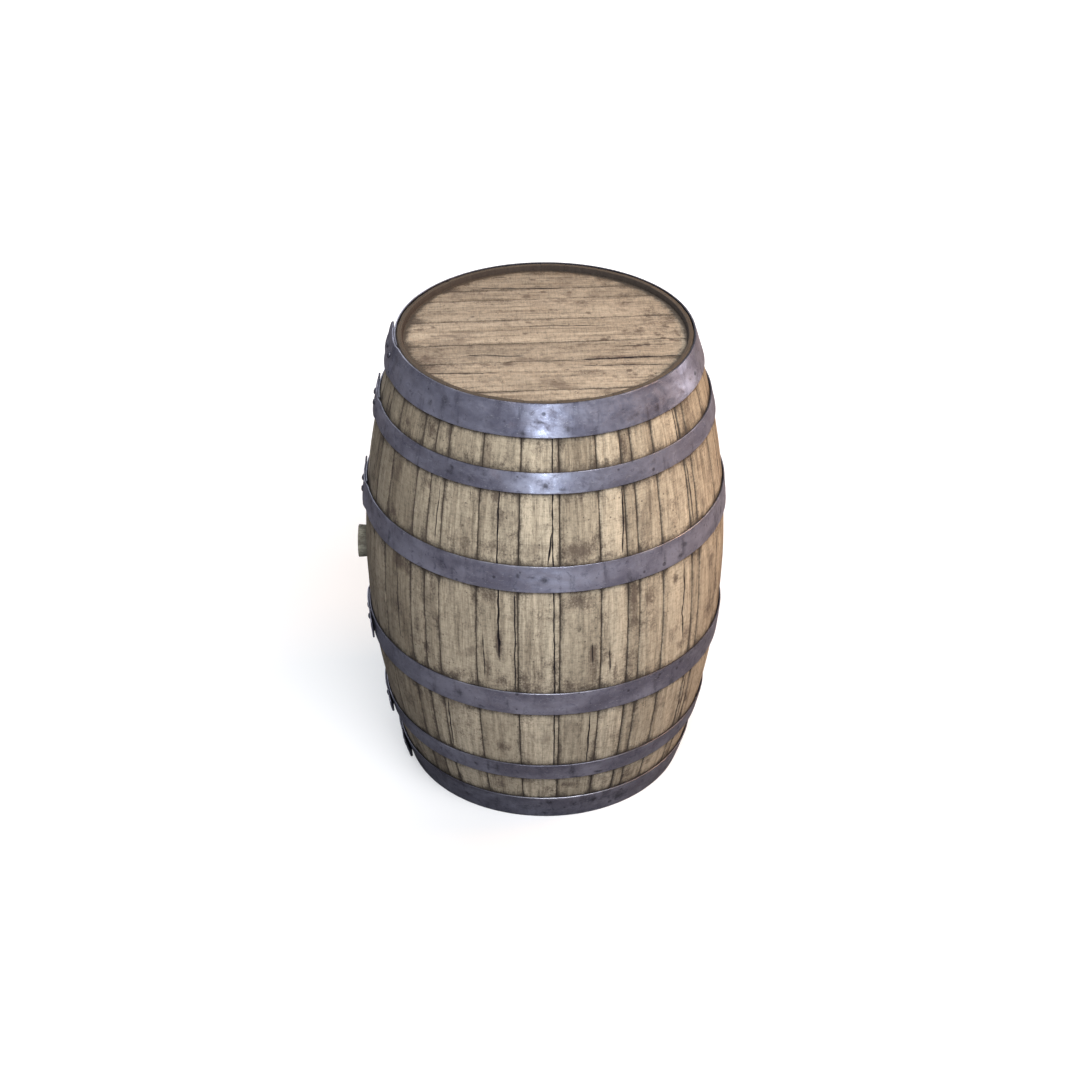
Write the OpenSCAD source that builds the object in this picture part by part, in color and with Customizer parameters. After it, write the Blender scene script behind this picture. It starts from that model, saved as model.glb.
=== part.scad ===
// Oak wine barrel, standing on one head, with its bung in the middle of the left side.
// The origin is on the barrel's axis, at the level of the floor, and +Z is up.
// Every stave, head board, dowel, hoop and rivet is a solid of its own, and the bung pulls out along -X.

/* [Barrel] */
// Height of the barrel, from one end of the staves to the other
barrel_h = 950; // [780:1:1200]
// Diameter over the staves at the bilge, the widest place
bilge_d = 711; // [590:1:860]
// Diameter over the staves at each end
end_d = 559; // [460:1:680]

/* [Staves] */
// Thickness of a stave
stave_t = 25; // [20:0.5:32]
// Widths of the staves at the bilge, the bung stave first, which share out the whole girth
stave_w = [100, 78, 57, 86, 38, 35, 81, 82, 79, 79, 55, 25, 56, 82, 25, 84,
           76, 92, 68, 84, 58, 95, 72, 86, 64, 88, 74, 96, 78, 81, 80]; // one entry a stave
// Thickness left at the stave ends inside the head hoop
chime_t = 12; // [9:0.5:16]
// How far the mouth widens from the head to the stave ends
chime_bevel = 2.5; // [0.5:0.5:5]
// Chamfer on the outer edge of the stave ends
chime_chamfer = 1.5; // [0.5:0.5:3]
// Length of the round bore (the howel) cut inside each end
howel_l = 55; // [48:1:80]

/* [Heads] */
// Depth of a head's outer face below the stave ends
head_recess = 10; // [6:1:20]
// Thickness of a head
head_t = 22; // [16:1:26]
// Thickness of the tongue around a head, which sits in the croze
tongue_t = 9; // [6:0.5:11]
// Depth of the croze, the groove that holds the head
croze_depth = 5; // [3:0.5:7]
// Clearance between a head and its groove
croze_gap = 0.3; // [0.1:0.1:1]
// Drop of the bevel on a head's outer face
bevel_drop = 2; // [1:0.5:3]
// Width of the bevel on a head's outer face
bevel_w = 8; // [4:1:20]
// Width of the bevel on a head's inner face
inner_bevel_w = 24; // [10:1:40]
// Turn of the boards about the barrel's axis
head_turn = 4; // [-90:1:90]
// Widths of the top head's boards, front to back, which share out the head
top_board_w = [58, 108, 71, 93, 83, 44, 83]; // one entry a board
// Widths of the bottom head's boards, front to back, which share out the head
bottom_board_w = [64, 85, 96, 58, 90, 79, 68]; // one entry a board
// Diameter of the dowels between boards
dowel_d = 8; // [6:0.5:10]
// Length of the dowels between boards
dowel_l = 40; // [24:1:48]
// Clearance around a dowel
dowel_gap = 0.1; // [0.05:0.05:0.3]

/* [Hoops] */
// Thickness of the hoop steel
hoop_t = 3.5; // [1.5:0.1:4.5]
// Clearance between a hoop and the staves
hoop_gap = 0.3; // [0.1:0.1:1]
// Width of the head hoops, which are flush with the stave ends
head_hoop_w = 61; // [40:1:75]
// Distance from the stave ends to the quarter hoops
quarter_hoop_e = 123; // [95:1:160]
// Width of the quarter hoops
quarter_hoop_w = 40; // [30:1:50]
// Distance from the stave ends to the bilge hoops
bilge_hoop_e = 305; // [230:1:320]
// Width of the bilge hoops
bilge_hoop_w = 54; // [35:1:55]
// Turn of the top head, quarter and bilge hoops' laps from the bung towards the front
top_lap = [5.5, 1, 2]; // degrees
// Turn of the bottom head, quarter and bilge hoops' laps from the bung towards the front
bottom_lap = [6.5, 7, 6]; // degrees
// Distance between a hoop's two rivets
rivet_space = 40; // [28:1:60]
// Strip left beyond the rivets at each end of a lap
lap_edge = 16; // [10:1:30]
// Length of the free tail that stands off each hoop
tail_l = 32; // [10:1:50]
// Angle at which the tail stands off
tail_flare = 6; // [2:1:12]
// How much narrower the tail is than its hoop, on each side
tail_inset = 3; // [2:0.5:6]
// Cut across the tail's corners
tail_corner = 7; // [3:1:12]

/* [Rivets] */
// Diameter of a rivet's shank
rivet_d = 7; // [5:0.5:9]
// Diameter of a rivet's head
rivet_head_d = 13; // [10:0.5:16]
// Height of a rivet's head
rivet_head_h = 4; // [2:0.5:5]
// Clearance around a rivet
rivet_gap = 0.1; // [0.05:0.05:0.3]

/* [Bung] */
// Diameter of the bung's outer end
bung_d = 66; // [50:1:80]
// Length of the bung
bung_l = 48; // [40:1:60]
// How far the bung stands out of its stave
bung_out = 16; // [8:1:24]
// How much the bung's diameter shrinks over its length
bung_taper = 6; // [3:1:10]
// Chamfer around the bung's ends
bung_chamfer = 2; // [1:0.5:4]
// Clearance between the bung and its hole
bung_gap = 0.3; // [0.1:0.1:0.6]

/* [Hidden] */
bilge_r = bilge_d / 2;
end_r = end_d / 2;
rise = bilge_r - end_r;
// Radius of the stave's outer arc, whose centre is level with the bilge
arc_r = (pow(barrel_h / 2, 2) + rise * rise) / (2 * rise);
arc_x = bilge_r - arc_r;
howel_r = end_r - chime_t;
croze_r = howel_r + croze_depth;
head_r = croze_r - croze_gap;
arc_fn = 256;
round_fn = 128;
eps = 1;
bung_axis = 180;
tail_root = 4;
tail_lift = 0.3;
lap_root = 0.5;

hoop_names = ["head_hoop", "quarter_hoop", "bilge_hoop"];
hoop_e = [0, quarter_hoop_e, bilge_hoop_e];
hoop_w = [head_hoop_w, quarter_hoop_w, bilge_hoop_w];
hoops = [0:len(hoop_names) - 1];
plain_staves = [1:len(stave_w) - 1];

function number(i) = i < 10 ? str("0", i) : str(i);
function stave_name(i) = str("stave_", number(i));
function board_name(end, i) = str(end, "_head_board_", i + 1);

// Sum of the first n entries of a list
function sum(v, n) = n <= 0 ? 0 : v[n - 1] + sum(v, n - 1);
function total(v) = sum(v, len(v));

// Outer radius of the staves at height z, along the stave's arc
function stave_r(z) = arc_x + sqrt(arc_r * arc_r - pow(z - barrel_h / 2, 2));

// Angle of a stave, and where it starts, counter-clockwise from +X
function stave_angle(i) = 360 * stave_w[i] / total(stave_w);
function stave_start(i) = bung_axis - stave_angle(0) / 2 + 360 * sum(stave_w, i) / total(stave_w);

// Where a board starts across its head, as widths share out the head's diameter
function board_y(w, i) = head_r * (2 * sum(w, i) / total(w) - 1);

// Copies what is made for the top end onto the bottom end, turned over about the X axis
module at_bottom() {
    translate([0, 0, barrel_h]) rotate([180, 0, 0]) children();
}

// ---- Staves ----

// Part of the section that an end loses to the bore, the mouth's bevel and the croze, for the top end
module end_cut() {
    z_head = barrel_h - head_recess;
    z_groove = z_head - bevel_drop + croze_gap;
    polygon([
        [0, barrel_h - howel_l],
        [howel_r, barrel_h - howel_l],
        [howel_r, z_groove - tongue_t - 2 * croze_gap],
        [croze_r, z_groove - tongue_t - 2 * croze_gap],
        [croze_r, z_groove],
        [howel_r, z_groove],
        [howel_r, z_head],
        [howel_r + chime_bevel, barrel_h],
        [howel_r + chime_bevel, barrel_h + eps],
        [0, barrel_h + eps]
    ]);
    polygon([
        [end_r - chime_chamfer, barrel_h],
        [end_r - chime_chamfer, barrel_h + eps],
        [end_r + 2 * chime_chamfer, barrel_h + eps],
        [stave_r(barrel_h - chime_chamfer), barrel_h - chime_chamfer]
    ]);
}

// Section of every stave, with the radius across and the height up
module stave_section() {
    difference() {
        intersection() {
            translate([arc_x, barrel_h / 2]) circle(r = arc_r, $fn = arc_fn);
            square([bilge_r, barrel_h]);
        }
        translate([arc_x, barrel_h / 2]) circle(r = arc_r - stave_t, $fn = arc_fn);
        end_cut();
        translate([0, barrel_h]) mirror([0, 1]) end_cut();
    }
}

module stave(i) {
    color([0.66, 0.57, 0.44])
        rotate([0, 0, stave_start(i)])
            rotate_extrude(angle = stave_angle(i), $fn = round_fn) stave_section();
}

module bung_stave() {
    difference() {
        stave(0);
        bung_cone(bung_gap, eps);
    }
}

// ---- Heads ----

// A whole head, before it is split into boards, for the top end
module head_disc() {
    z_top = barrel_h - head_recess;
    lip_r = howel_r - croze_gap;
    rotate_extrude($fn = round_fn)
        polygon([
            [0, z_top],
            [lip_r - bevel_w, z_top],
            [lip_r, z_top - bevel_drop],
            [head_r, z_top - bevel_drop],
            [head_r, z_top - bevel_drop - tongue_t],
            [lip_r, z_top - bevel_drop - tongue_t],
            [lip_r - inner_bevel_w, z_top - head_t],
            [0, z_top - head_t]
        ]);
}

// The dowels of a head whose boards have the widths w, or the holes for them
module dowels(w, gap) {
    z = barrel_h - head_recess - head_t / 2;
    for (i = [1:len(w) - 1]) {
        y = board_y(w, i);
        x = sqrt(head_r * head_r - y * y) / 2;
        for (side = [-1, 1])
            rotate([0, 0, head_turn])
                translate([side * x, y, z])
                    rotate([90, 0, 0])
                        cylinder(h = dowel_l + 2 * gap, d = dowel_d + 2 * gap, center = true, $fn = 32);
    }
}

module head_board(w, i) {
    color([0.7, 0.6, 0.47])
        difference() {
            intersection() {
                head_disc();
                rotate([0, 0, head_turn])
                    translate([-end_r, board_y(w, i), 0])
                        cube([end_d, board_y(w, i + 1) - board_y(w, i), barrel_h]);
            }
            dowels(w, dowel_gap);
        }
}

module head_dowels(w) {
    color([0.75, 0.62, 0.42]) dowels(w, 0);
}

// ---- Hoops, made for the top end ----

function hoop_z(k) = barrel_h - hoop_e[k] - hoop_w[k] / 2;
// Lean of a hoop's strip from upright, and the radius of its inner face at mid width
function hoop_lean(k) = asin((hoop_z(k) - barrel_h / 2) / arc_r);
function hoop_off(k) = (hoop_w[k] * hoop_w[k] / (8 * arc_r) + hoop_gap) / cos(hoop_lean(k));
function hoop_in(k, z) = stave_r(z) + hoop_off(k);
function hoop_mid_r(k) =
    (hoop_in(k, barrel_h - hoop_e[k]) + hoop_in(k, barrel_h - hoop_e[k] - hoop_w[k])) / 2;
// Angle that a length along the hoop takes
function hoop_deg(k, l) = l / hoop_mid_r(k) * 180 / PI;

// Section of a hoop's strip, from one distance off its inner face to another
module strip_section(k, from, to) {
    z1 = barrel_h - hoop_e[k];
    z2 = z1 - hoop_w[k];
    x_from = from / cos(hoop_lean(k));
    x_to = to / cos(hoop_lean(k));
    polygon([
        [hoop_in(k, z1) + x_from, z1],
        [hoop_in(k, z1) + x_to, z1],
        [hoop_in(k, z2) + x_to, z2],
        [hoop_in(k, z2) + x_from, z2]
    ]);
}

// Puts its children on a hoop's inner face, with X outwards, Y along the hoop and Z across it
module on_hoop(k, angle) {
    rotate([0, 0, angle])
        translate([hoop_mid_r(k), 0, hoop_z(k)])
            rotate([0, -hoop_lean(k), 0]) children();
}

// Where a hoop's two rivets are
function rivet_angle(k, lap, side) = bung_axis + lap + side * hoop_deg(k, rivet_space / 2);

module tail(k) {
    half = hoop_w[k] / 2 - tail_inset;
    translate([hoop_t + tail_lift, 0, 0])
        rotate([0, 0, tail_flare])
            rotate([90, 0, 90])
                linear_extrude(hoop_t)
                    polygon([
                        [tail_root, -half],
                        [tail_root, half],
                        [tail_corner - tail_l, half],
                        [-tail_l, half - tail_corner],
                        [-tail_l, tail_corner - half],
                        [tail_corner - tail_l, -half]
                    ]);
}

// A closed hoop: one strip all the way round, two at the lap, and the strip's outer end standing off
module hoop(k, lap) {
    half = hoop_deg(k, rivet_space / 2 + lap_edge);
    color([0.42, 0.42, 0.47])
        difference() {
            union() {
                rotate_extrude($fn = round_fn) strip_section(k, 0, hoop_t);
                rotate([0, 0, bung_axis + lap - half])
                    rotate_extrude(angle = 2 * half, $fn = round_fn)
                        strip_section(k, hoop_t - lap_root, 2 * hoop_t);
                on_hoop(k, bung_axis + lap - half) tail(k);
            }
            for (side = [-1, 1])
                on_hoop(k, rivet_angle(k, lap, side))
                    rotate([0, 90, 0])
                        translate([0, 0, -eps])
                            cylinder(h = 2 * (hoop_t + eps), d = rivet_d + 2 * rivet_gap, $fn = 32);
        }
}

// A rivet along +X, from the hoop's inner face, with a domed head outside
module rivet() {
    dome_r = (pow(rivet_head_d / 2, 2) + rivet_head_h * rivet_head_h) / (2 * rivet_head_h);
    rotate([0, 90, 0]) {
        cylinder(h = 2 * hoop_t + eps, d = rivet_d, $fn = 32);
        translate([0, 0, 2 * hoop_t])
            intersection() {
                translate([0, 0, rivet_head_h - dome_r]) sphere(r = dome_r, $fn = 48);
                cylinder(h = rivet_head_h, d = rivet_head_d, $fn = 48);
            }
    }
}

module end_rivets(laps, sign) {
    for (k = hoops, side = [-1, 1])
        on_hoop(k, rivet_angle(k, sign * laps[k], side)) rivet();
}

module hoop_rivets() {
    color([0.3, 0.3, 0.34]) {
        end_rivets(top_lap, 1);
        at_bottom() end_rivets(bottom_lap, -1);
    }
}

// ---- Bung ----

// The bung's cone along -X, widened by gap and made longer by extra at both ends
module bung_cone(gap, extra) {
    x_in = bilge_r + bung_out - bung_l;
    slope = bung_taper / 2 / bung_l;
    translate([-(x_in - extra), 0, barrel_h / 2])
        rotate([0, -90, 0])
            cylinder(
                h = bung_l + 2 * extra,
                r1 = (bung_d - bung_taper) / 2 + gap - extra * slope,
                r2 = bung_d / 2 + gap + extra * slope,
                $fn = 96);
}

module bung() {
    slope = bung_taper / 2 / bung_l;
    r_in = (bung_d - bung_taper) / 2;
    color([0.5, 0.47, 0.38])
        translate([-(bilge_r + bung_out - bung_l), 0, barrel_h / 2])
            rotate([0, -90, 0])
                rotate_extrude($fn = 96)
                    polygon([
                        [0, 0],
                        [r_in - bung_chamfer, 0],
                        [r_in + bung_chamfer * slope, bung_chamfer],
                        [bung_d / 2 - bung_chamfer * slope, bung_l - bung_chamfer],
                        [bung_d / 2 - bung_chamfer, bung_l],
                        [0, bung_l]
                    ]);
}

// ---- Nodes ----

bung_stave();
for (i = plain_staves)
    stave(i);
for (i = [0:len(top_board_w) - 1])
    head_board(top_board_w, i);
for (i = [0:len(bottom_board_w) - 1])
    at_bottom() head_board(bottom_board_w, i);
head_dowels(top_board_w);  // top_head_dowels
at_bottom() head_dowels(bottom_board_w);  // bottom_head_dowels
for (k = hoops)
    hoop(k, top_lap[k]);
for (k = hoops)
    at_bottom() hoop(k, -bottom_lap[k]);
hoop_rivets();
bung();
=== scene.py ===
import math
import bpy
import numpy as np
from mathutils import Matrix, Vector


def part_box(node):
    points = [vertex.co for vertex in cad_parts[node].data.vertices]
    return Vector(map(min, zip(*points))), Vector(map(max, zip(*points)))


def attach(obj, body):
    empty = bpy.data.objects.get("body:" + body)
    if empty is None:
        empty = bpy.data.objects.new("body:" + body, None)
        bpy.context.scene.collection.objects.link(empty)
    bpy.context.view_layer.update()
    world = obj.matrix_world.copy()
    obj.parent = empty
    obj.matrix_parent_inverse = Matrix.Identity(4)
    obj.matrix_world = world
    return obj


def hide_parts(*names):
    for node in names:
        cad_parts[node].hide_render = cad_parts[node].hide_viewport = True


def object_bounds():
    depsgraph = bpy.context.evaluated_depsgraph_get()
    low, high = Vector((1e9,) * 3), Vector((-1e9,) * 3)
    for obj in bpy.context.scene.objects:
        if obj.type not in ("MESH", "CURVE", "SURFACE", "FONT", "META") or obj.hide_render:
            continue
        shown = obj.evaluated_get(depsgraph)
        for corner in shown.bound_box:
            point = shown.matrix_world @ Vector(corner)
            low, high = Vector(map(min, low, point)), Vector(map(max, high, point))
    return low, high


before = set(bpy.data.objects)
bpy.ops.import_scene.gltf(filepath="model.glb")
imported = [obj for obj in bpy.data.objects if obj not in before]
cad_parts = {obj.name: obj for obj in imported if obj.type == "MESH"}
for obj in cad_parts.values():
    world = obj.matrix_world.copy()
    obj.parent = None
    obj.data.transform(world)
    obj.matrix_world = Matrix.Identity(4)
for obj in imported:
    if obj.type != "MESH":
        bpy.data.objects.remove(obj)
cadLow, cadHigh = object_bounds()
print("frame loaded:", len(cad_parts), "nodes")


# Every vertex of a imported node, as rows of x, y, z
def nodePoints(name):
    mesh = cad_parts[name].data
    points = np.empty(len(mesh.vertices) * 3, dtype=np.float32)
    mesh.vertices.foreach_get("co", points)
    return points.reshape(-1, 3).astype(float)


# The barrel's round in metres. The staves' arc is found from the two radii and the height.
barrelShape = {
    "height": cadHigh.z, "endRadius": 0.2795, "headRadius": 0.2722,
    "bilgeRadius": float(np.hypot(*nodePoints("stave_08")[:, :2].T).max()),
}
height = barrelShape["height"]
bilgeRadius = barrelShape["bilgeRadius"]
rise = bilgeRadius - barrelShape["endRadius"]
arcRadius = (height ** 2 / 4 + rise ** 2) / (2 * rise)


# Outer radius of the staves: the point of a circle of arcRadius that lies level with z
def staveRadius(z):
    return bilgeRadius - arcRadius + np.sqrt(arcRadius ** 2 - (z - height / 2) ** 2)


# Sum of six sine waves of random heading and phase, mostly within -1 to 1, with crests about a wave
# apart
def softNoise(x, y, wave, seed):
    draw = np.random.default_rng(seed)
    total = 0
    for heading, phase, stretch in draw.uniform((0, 0, 0.55), (6.28, 6.28, 1.6), (6, 3)):
        run = x * math.cos(heading) + y * math.sin(heading)
        total = total + np.sin(run * 6.283 / (wave * stretch) + phase)
    return total / 3


# 0 below low, 1 above high, and a smooth S between
def easeStep(value, low, high):
    t = np.clip((value - low) / (high - low), 0, 1)
    return t * t * (3 - 2 * t)


# How far a rounded edge drops at a distance from it: the gap between a quarter circle and its tangent
def edgeDrop(distance, radius):
    short = np.clip(radius - distance, 0, radius)
    return radius - np.sqrt(radius ** 2 - short ** 2)


# 1 at no distance, and about a third of that for every reach further
def fade(distance, reach):
    return np.exp(-distance / reach)


# Turns what is made for the top end over onto the bottom end, half a turn about the X axis
def turnedOver(points):
    return points * (1, -1, -1) + (0, 0, height)


# Faces of a grid of rows by columns whose columns close into a loop. The first half of the columns is
# the outer side, the second half is the inner side in the opposite order, and each end is closed by
# rungs between the two. Gives the faces as indices, and the same faces with the last column kept
# apart from the first, so that a pattern doesn't run backwards over the joint.
def loopFaces(rows, columns):
    i, j = np.meshgrid(np.arange(rows - 1), np.arange(columns), indexing="ij")
    wide = columns + 1
    corners = np.stack([i * wide + j, i * wide + j + 1, (i + 1) * wide + j + 1, (i + 1) * wide + j], -1)
    corners = corners.reshape(-1, 4)
    side = np.arange(columns // 2 - 1)
    back = columns - 1 - side
    low = np.stack([side, back, back - 1, side + 1], -1)
    high = low[:, ::-1] + (rows - 1) * wide
    apart = np.concatenate([corners, low, high])
    closed = apart // wide * columns + apart % wide % columns
    return closed, apart


# Gives a mesh its UV map in metres, one float value per vertex for each mark, soft shading up to an
# angle, its material and an object
def finishPiece(name, mesh, uv, marks, material, sharp):
    mesh.polygons.foreach_set("use_smooth", np.ones(len(mesh.polygons), dtype=bool))
    mesh.uv_layers.new(name="grainMap").data.foreach_set("uv", uv.astype(np.float32).ravel())
    for label, values in marks.items():
        mark = mesh.attributes.new(label, "FLOAT", "POINT")
        mark.data.foreach_set("value", values.astype(np.float32))
    mesh.update(calc_edges=True)
    mesh.set_sharp_from_angle(angle=sharp)
    mesh.materials.append(material)
    piece = bpy.data.objects.new(name, mesh)
    bpy.context.collection.objects.link(piece)
    return piece


# One value per vertex of a section loop, from the values of its outer side and of its inner side
def bothSides(outer, inner):
    return np.concatenate([outer, np.broadcast_to(inner, outer.shape)], 1).ravel()


# UV of a wooden section loop: over its outer side, round the edge and back over the inner side
def unrolledMap(across, acrossIn, along, high, thick, offset, apart):
    wrapped = np.concatenate([across, 2 * high + thick - acrossIn[:, ::-1]], 1)
    wrapped = np.concatenate([wrapped, wrapped[:, -1:] + thick], 1) + offset[0]
    lengthwise = np.concatenate([along, along[:, :1]], 1) + offset[1]
    return np.stack([wrapped.ravel()[apart], lengthwise.ravel()[apart]], -1)


# Makes a piece of four-cornered faces, from the vertices that they use
def addPiece(name, points, faces, uv, marks, material):
    used = np.unique(faces)
    order = np.zeros(len(points), dtype=np.int32)
    order[used] = np.arange(len(used))
    mesh = bpy.data.meshes.new(name)
    mesh.vertices.add(len(used))
    mesh.vertices.foreach_set("co", points[used].astype(np.float32).ravel())
    mesh.loops.add(faces.size)
    mesh.loops.foreach_set("vertex_index", order[faces].ravel())
    mesh.polygons.add(len(faces))
    mesh.polygons.foreach_set("loop_start", np.arange(0, faces.size, 4, dtype=np.int32))
    usedMarks = {label: values[used] for label, values in marks.items()}
    return finishPiece(name, mesh, uv, usedMarks, material, 0.6)


# Says what a piece moves with and which imported nodes it stands for, and hides them; the slot is not used
def place(piece, body, slot, *nodes):
    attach(piece, body)
    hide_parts(*nodes)


# The lip's own columns, the stained margin beside a split, its soft edge, and the depth of full darkness
splitShape = {"lip": 0.0016, "margin": 0.0011, "blur": 0.0012, "fullDepth": 0.0012}


# Columns of a board or stave, one row for each place along it. Knots sit at the rounded edges and run
# along both lips and the bottom of every split, and the room between knots is shared out evenly.
def trackedColumns(low, high, splits, rounding, step, along):
    edge = np.array([0, 0.12, 0.35, 0.65, 1.0]) * rounding
    knots = [np.full_like(along, low + e) for e in edge]
    knots += [np.full_like(along, high - e) for e in edge[::-1]]
    lip = splitShape["lip"]
    for centre, half, _ in splits:
        knots += [centre - half - lip, centre - half, centre, centre + half, centre + half + lip]
    knots = np.sort(np.clip(np.stack(knots, 1), low, high), axis=1)
    spread = 0.000003 * np.arange(knots.shape[1])  # so that no two knots fall together
    knots = low + (knots - low) * (1 - spread[-1] / (high - low)) + spread
    columns = []
    for left, right in zip(knots.T[:-1], knots.T[1:]):
        count = max(1, int(round(np.mean(right - left) / step)))
        columns += [left + (right - left) * k / count for k in range(count)]
    return np.stack(columns + [knots[:, -1]], 1)


# Depth of the splits at each place across, and how dark they are: a V as wide as the split, with a
# stained margin
def splitRelief(across, splits):
    cut = np.zeros_like(across)
    dark = np.zeros_like(across)
    for centre, half, depth in splits:
        off = np.abs(across - centre[:, None])
        shape = np.clip(1 - off / half[:, None], 0, 1)
        cut = np.maximum(cut, shape * depth[:, None])
        wide = half[:, None] + splitShape["margin"]
        strength = np.clip(depth / splitShape["fullDepth"], 0, 1)[:, None]
        dark = np.maximum(dark, np.clip((wide - off) / splitShape["blur"], 0, 1) * strength)
    return cut, dark


# Centre line, half width and depth of a split at each place along a piece. The path is a list of
# (along, across) points, the split thins out to both its ends and wanders a little.
def splitAlong(along, path, width, depth, seed):
    path = sorted(path)
    first, last = path[0][0], path[-1][0]
    centre = np.interp(along, [p[0] for p in path], [p[1] for p in path])
    centre = centre + 0.0007 * softNoise(along, 0, 0.05, seed) + 0.0003 * softNoise(along, 0, 0.014, seed + 1)
    reach = np.minimum(along - first, last - along)
    opened = easeStep(reach, 0, min(0.05, (last - first) * 0.35))
    ragged = 0.75 + 0.35 * softNoise(along, 0, 0.022, seed + 2)
    half = 0.00012 + width / 2 * opened * np.clip(ragged, 0.3, 1.4)
    return centre, half, depth * opened * np.clip(ragged, 0.4, 1.2)


# Soft dark spots on a surface: the strongest of the round falls that each (x, y, reach x, reach y,
# strength) spot gives
def spotMarks(x, y, spots):
    mark = np.zeros(np.broadcast(x, y).shape)
    for centreX, centreY, reachX, reachY, strength in spots:
        far = ((x - centreX) / reachX) ** 2 + ((y - centreY) / reachY) ** 2
        mark = np.maximum(mark, strength * np.exp(-far * 0.9))
    return mark


# Adds a node, sets its options, and links or sets its inputs
def addNode(tree, kind, inputs=None, **options):
    node = tree.nodes.new(kind)
    for label, value in options.items():
        setattr(node, label, value)
    for label, value in (inputs or {}).items():
        if isinstance(value, bpy.types.NodeSocket):
            tree.links.new(value, node.inputs[label])
        else:
            node.inputs[label].default_value = value
    return node


def addMath(tree, operation, *values, clamp=False):
    node = addNode(tree, "ShaderNodeMath", dict(enumerate(values)), operation=operation, use_clamp=clamp)
    return node.outputs[0]


def addMix(tree, factor, first, second, blend="MIX"):
    inputs = {0: factor, 6: first, 7: second}
    return addNode(tree, "ShaderNodeMix", inputs, data_type="RGBA", blend_type=blend).outputs[2]


# Lays a colour over another as far as a mask times a strength
def paint(tree, base, mask, strength, over):
    return addMix(tree, addMath(tree, "MULTIPLY", mask, strength), base, over)


# 0 to 1 as a value goes from low to high, with soft ends
def addStep(tree, value, low, high):
    inputs = {"Value": value, "From Min": low, "From Max": high}
    return addNode(tree, "ShaderNodeMapRange", inputs, interpolation_type="SMOOTHSTEP").outputs[0]


# Noise on a pattern stretched by three scales, in repeats per metre
def addNoise(tree, coord, scales, detail=3, rough=0.55, shift=(0, 0, 0), distortion=0.0):
    spread = addNode(tree, "ShaderNodeMapping", {"Vector": coord, "Scale": scales, "Location": shift})
    inputs = {"Vector": spread.outputs[0], "Scale": 1.0, "Detail": detail, "Roughness": rough}
    inputs["Distortion"] = distortion
    return addNode(tree, "ShaderNodeTexNoise", inputs).outputs[0]


def newGroup(name, inputs, outputs):
    group = bpy.data.node_groups.new(name, "ShaderNodeTree")
    for label, kind, value in inputs:
        socket = group.interface.new_socket(name=label, in_out="INPUT", socket_type="NodeSocket" + kind)
        if value is not None:
            socket.default_value = value
    for label in outputs:
        group.interface.new_socket(name=label, in_out="OUTPUT", socket_type="NodeSocketFloat")
    return group, group.nodes.new("NodeGroupInput").outputs, group.nodes.new("NodeGroupOutput").inputs


def placeGroup(tree, group, inputs):
    return addNode(tree, "ShaderNodeGroup", inputs, node_tree=group).outputs


# Oak's own pattern, with X across the grain and Y along it, in metres
def makeOakGrain():
    group, given, put = newGroup(
        "oakGrain", [("Coord", "Vector", None)], ["Figure", "Streak", "Fibre", "Pores", "Saw", "Mottle"])
    coord = given["Coord"]
    figure = addNoise(group, coord, (24, 2.6, 1), 5, 0.6, distortion=0.7)
    streak = addNoise(group, coord, (95, 6, 1), 6, 0.75, (3, 1, 0))
    fibre = addNoise(group, coord, (390, 22, 1), 4, 0.75, (7, 0, 2))
    pores = addNoise(group, coord, (540, 60, 1), 2, 0.5, (1, 9, 4))
    saw = addNoise(group, coord, (38, 340, 1), 4, 0.8, (5, 2, 6))
    mottle = addNoise(group, coord, (110, 80, 1), 8, 0.8, (2, 6, 1))
    group.links.new(addStep(group, figure, 0.36, 0.66), put["Figure"])
    group.links.new(addStep(group, streak, 0.36, 0.68), put["Streak"])
    group.links.new(addStep(group, fibre, 0.34, 0.68), put["Fibre"])
    group.links.new(addStep(group, pores, 0.60, 0.72), put["Pores"])
    group.links.new(addStep(group, saw, 0.34, 0.68), put["Saw"])
    group.links.new(addStep(group, mottle, 0.44, 0.70), put["Mottle"])
    return group


# A mask that rises where a value is high, with a ragged cloudy edge: for stains, and for dirt with painted
# shade
def makeRaggedMask():
    group, given, put = newGroup(
        "grime", [("Coord", "Vector", None), ("Soil", "Float", 0.0), ("Spread", "Float", 0.5)], ["Mask"])
    cloud = addNoise(group, given["Coord"], (34, 26, 30), 6, 0.65)
    fine = addNoise(group, given["Coord"], (250, 190, 220), 5, 0.75)
    mixed = addMath(group, "MULTIPLY_ADD", cloud, 0.55, addMath(group, "MULTIPLY", fine, 0.45))
    shifted = addMath(group, "MULTIPLY", addMath(group, "SUBTRACT", mixed, 0.5), given["Spread"])
    shifted = addMath(group, "MULTIPLY", shifted, 3.2)
    group.links.new(addStep(group, addMath(group, "ADD", given["Soil"], shifted), 0.12, 0.95), put["Mask"])
    return group


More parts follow.
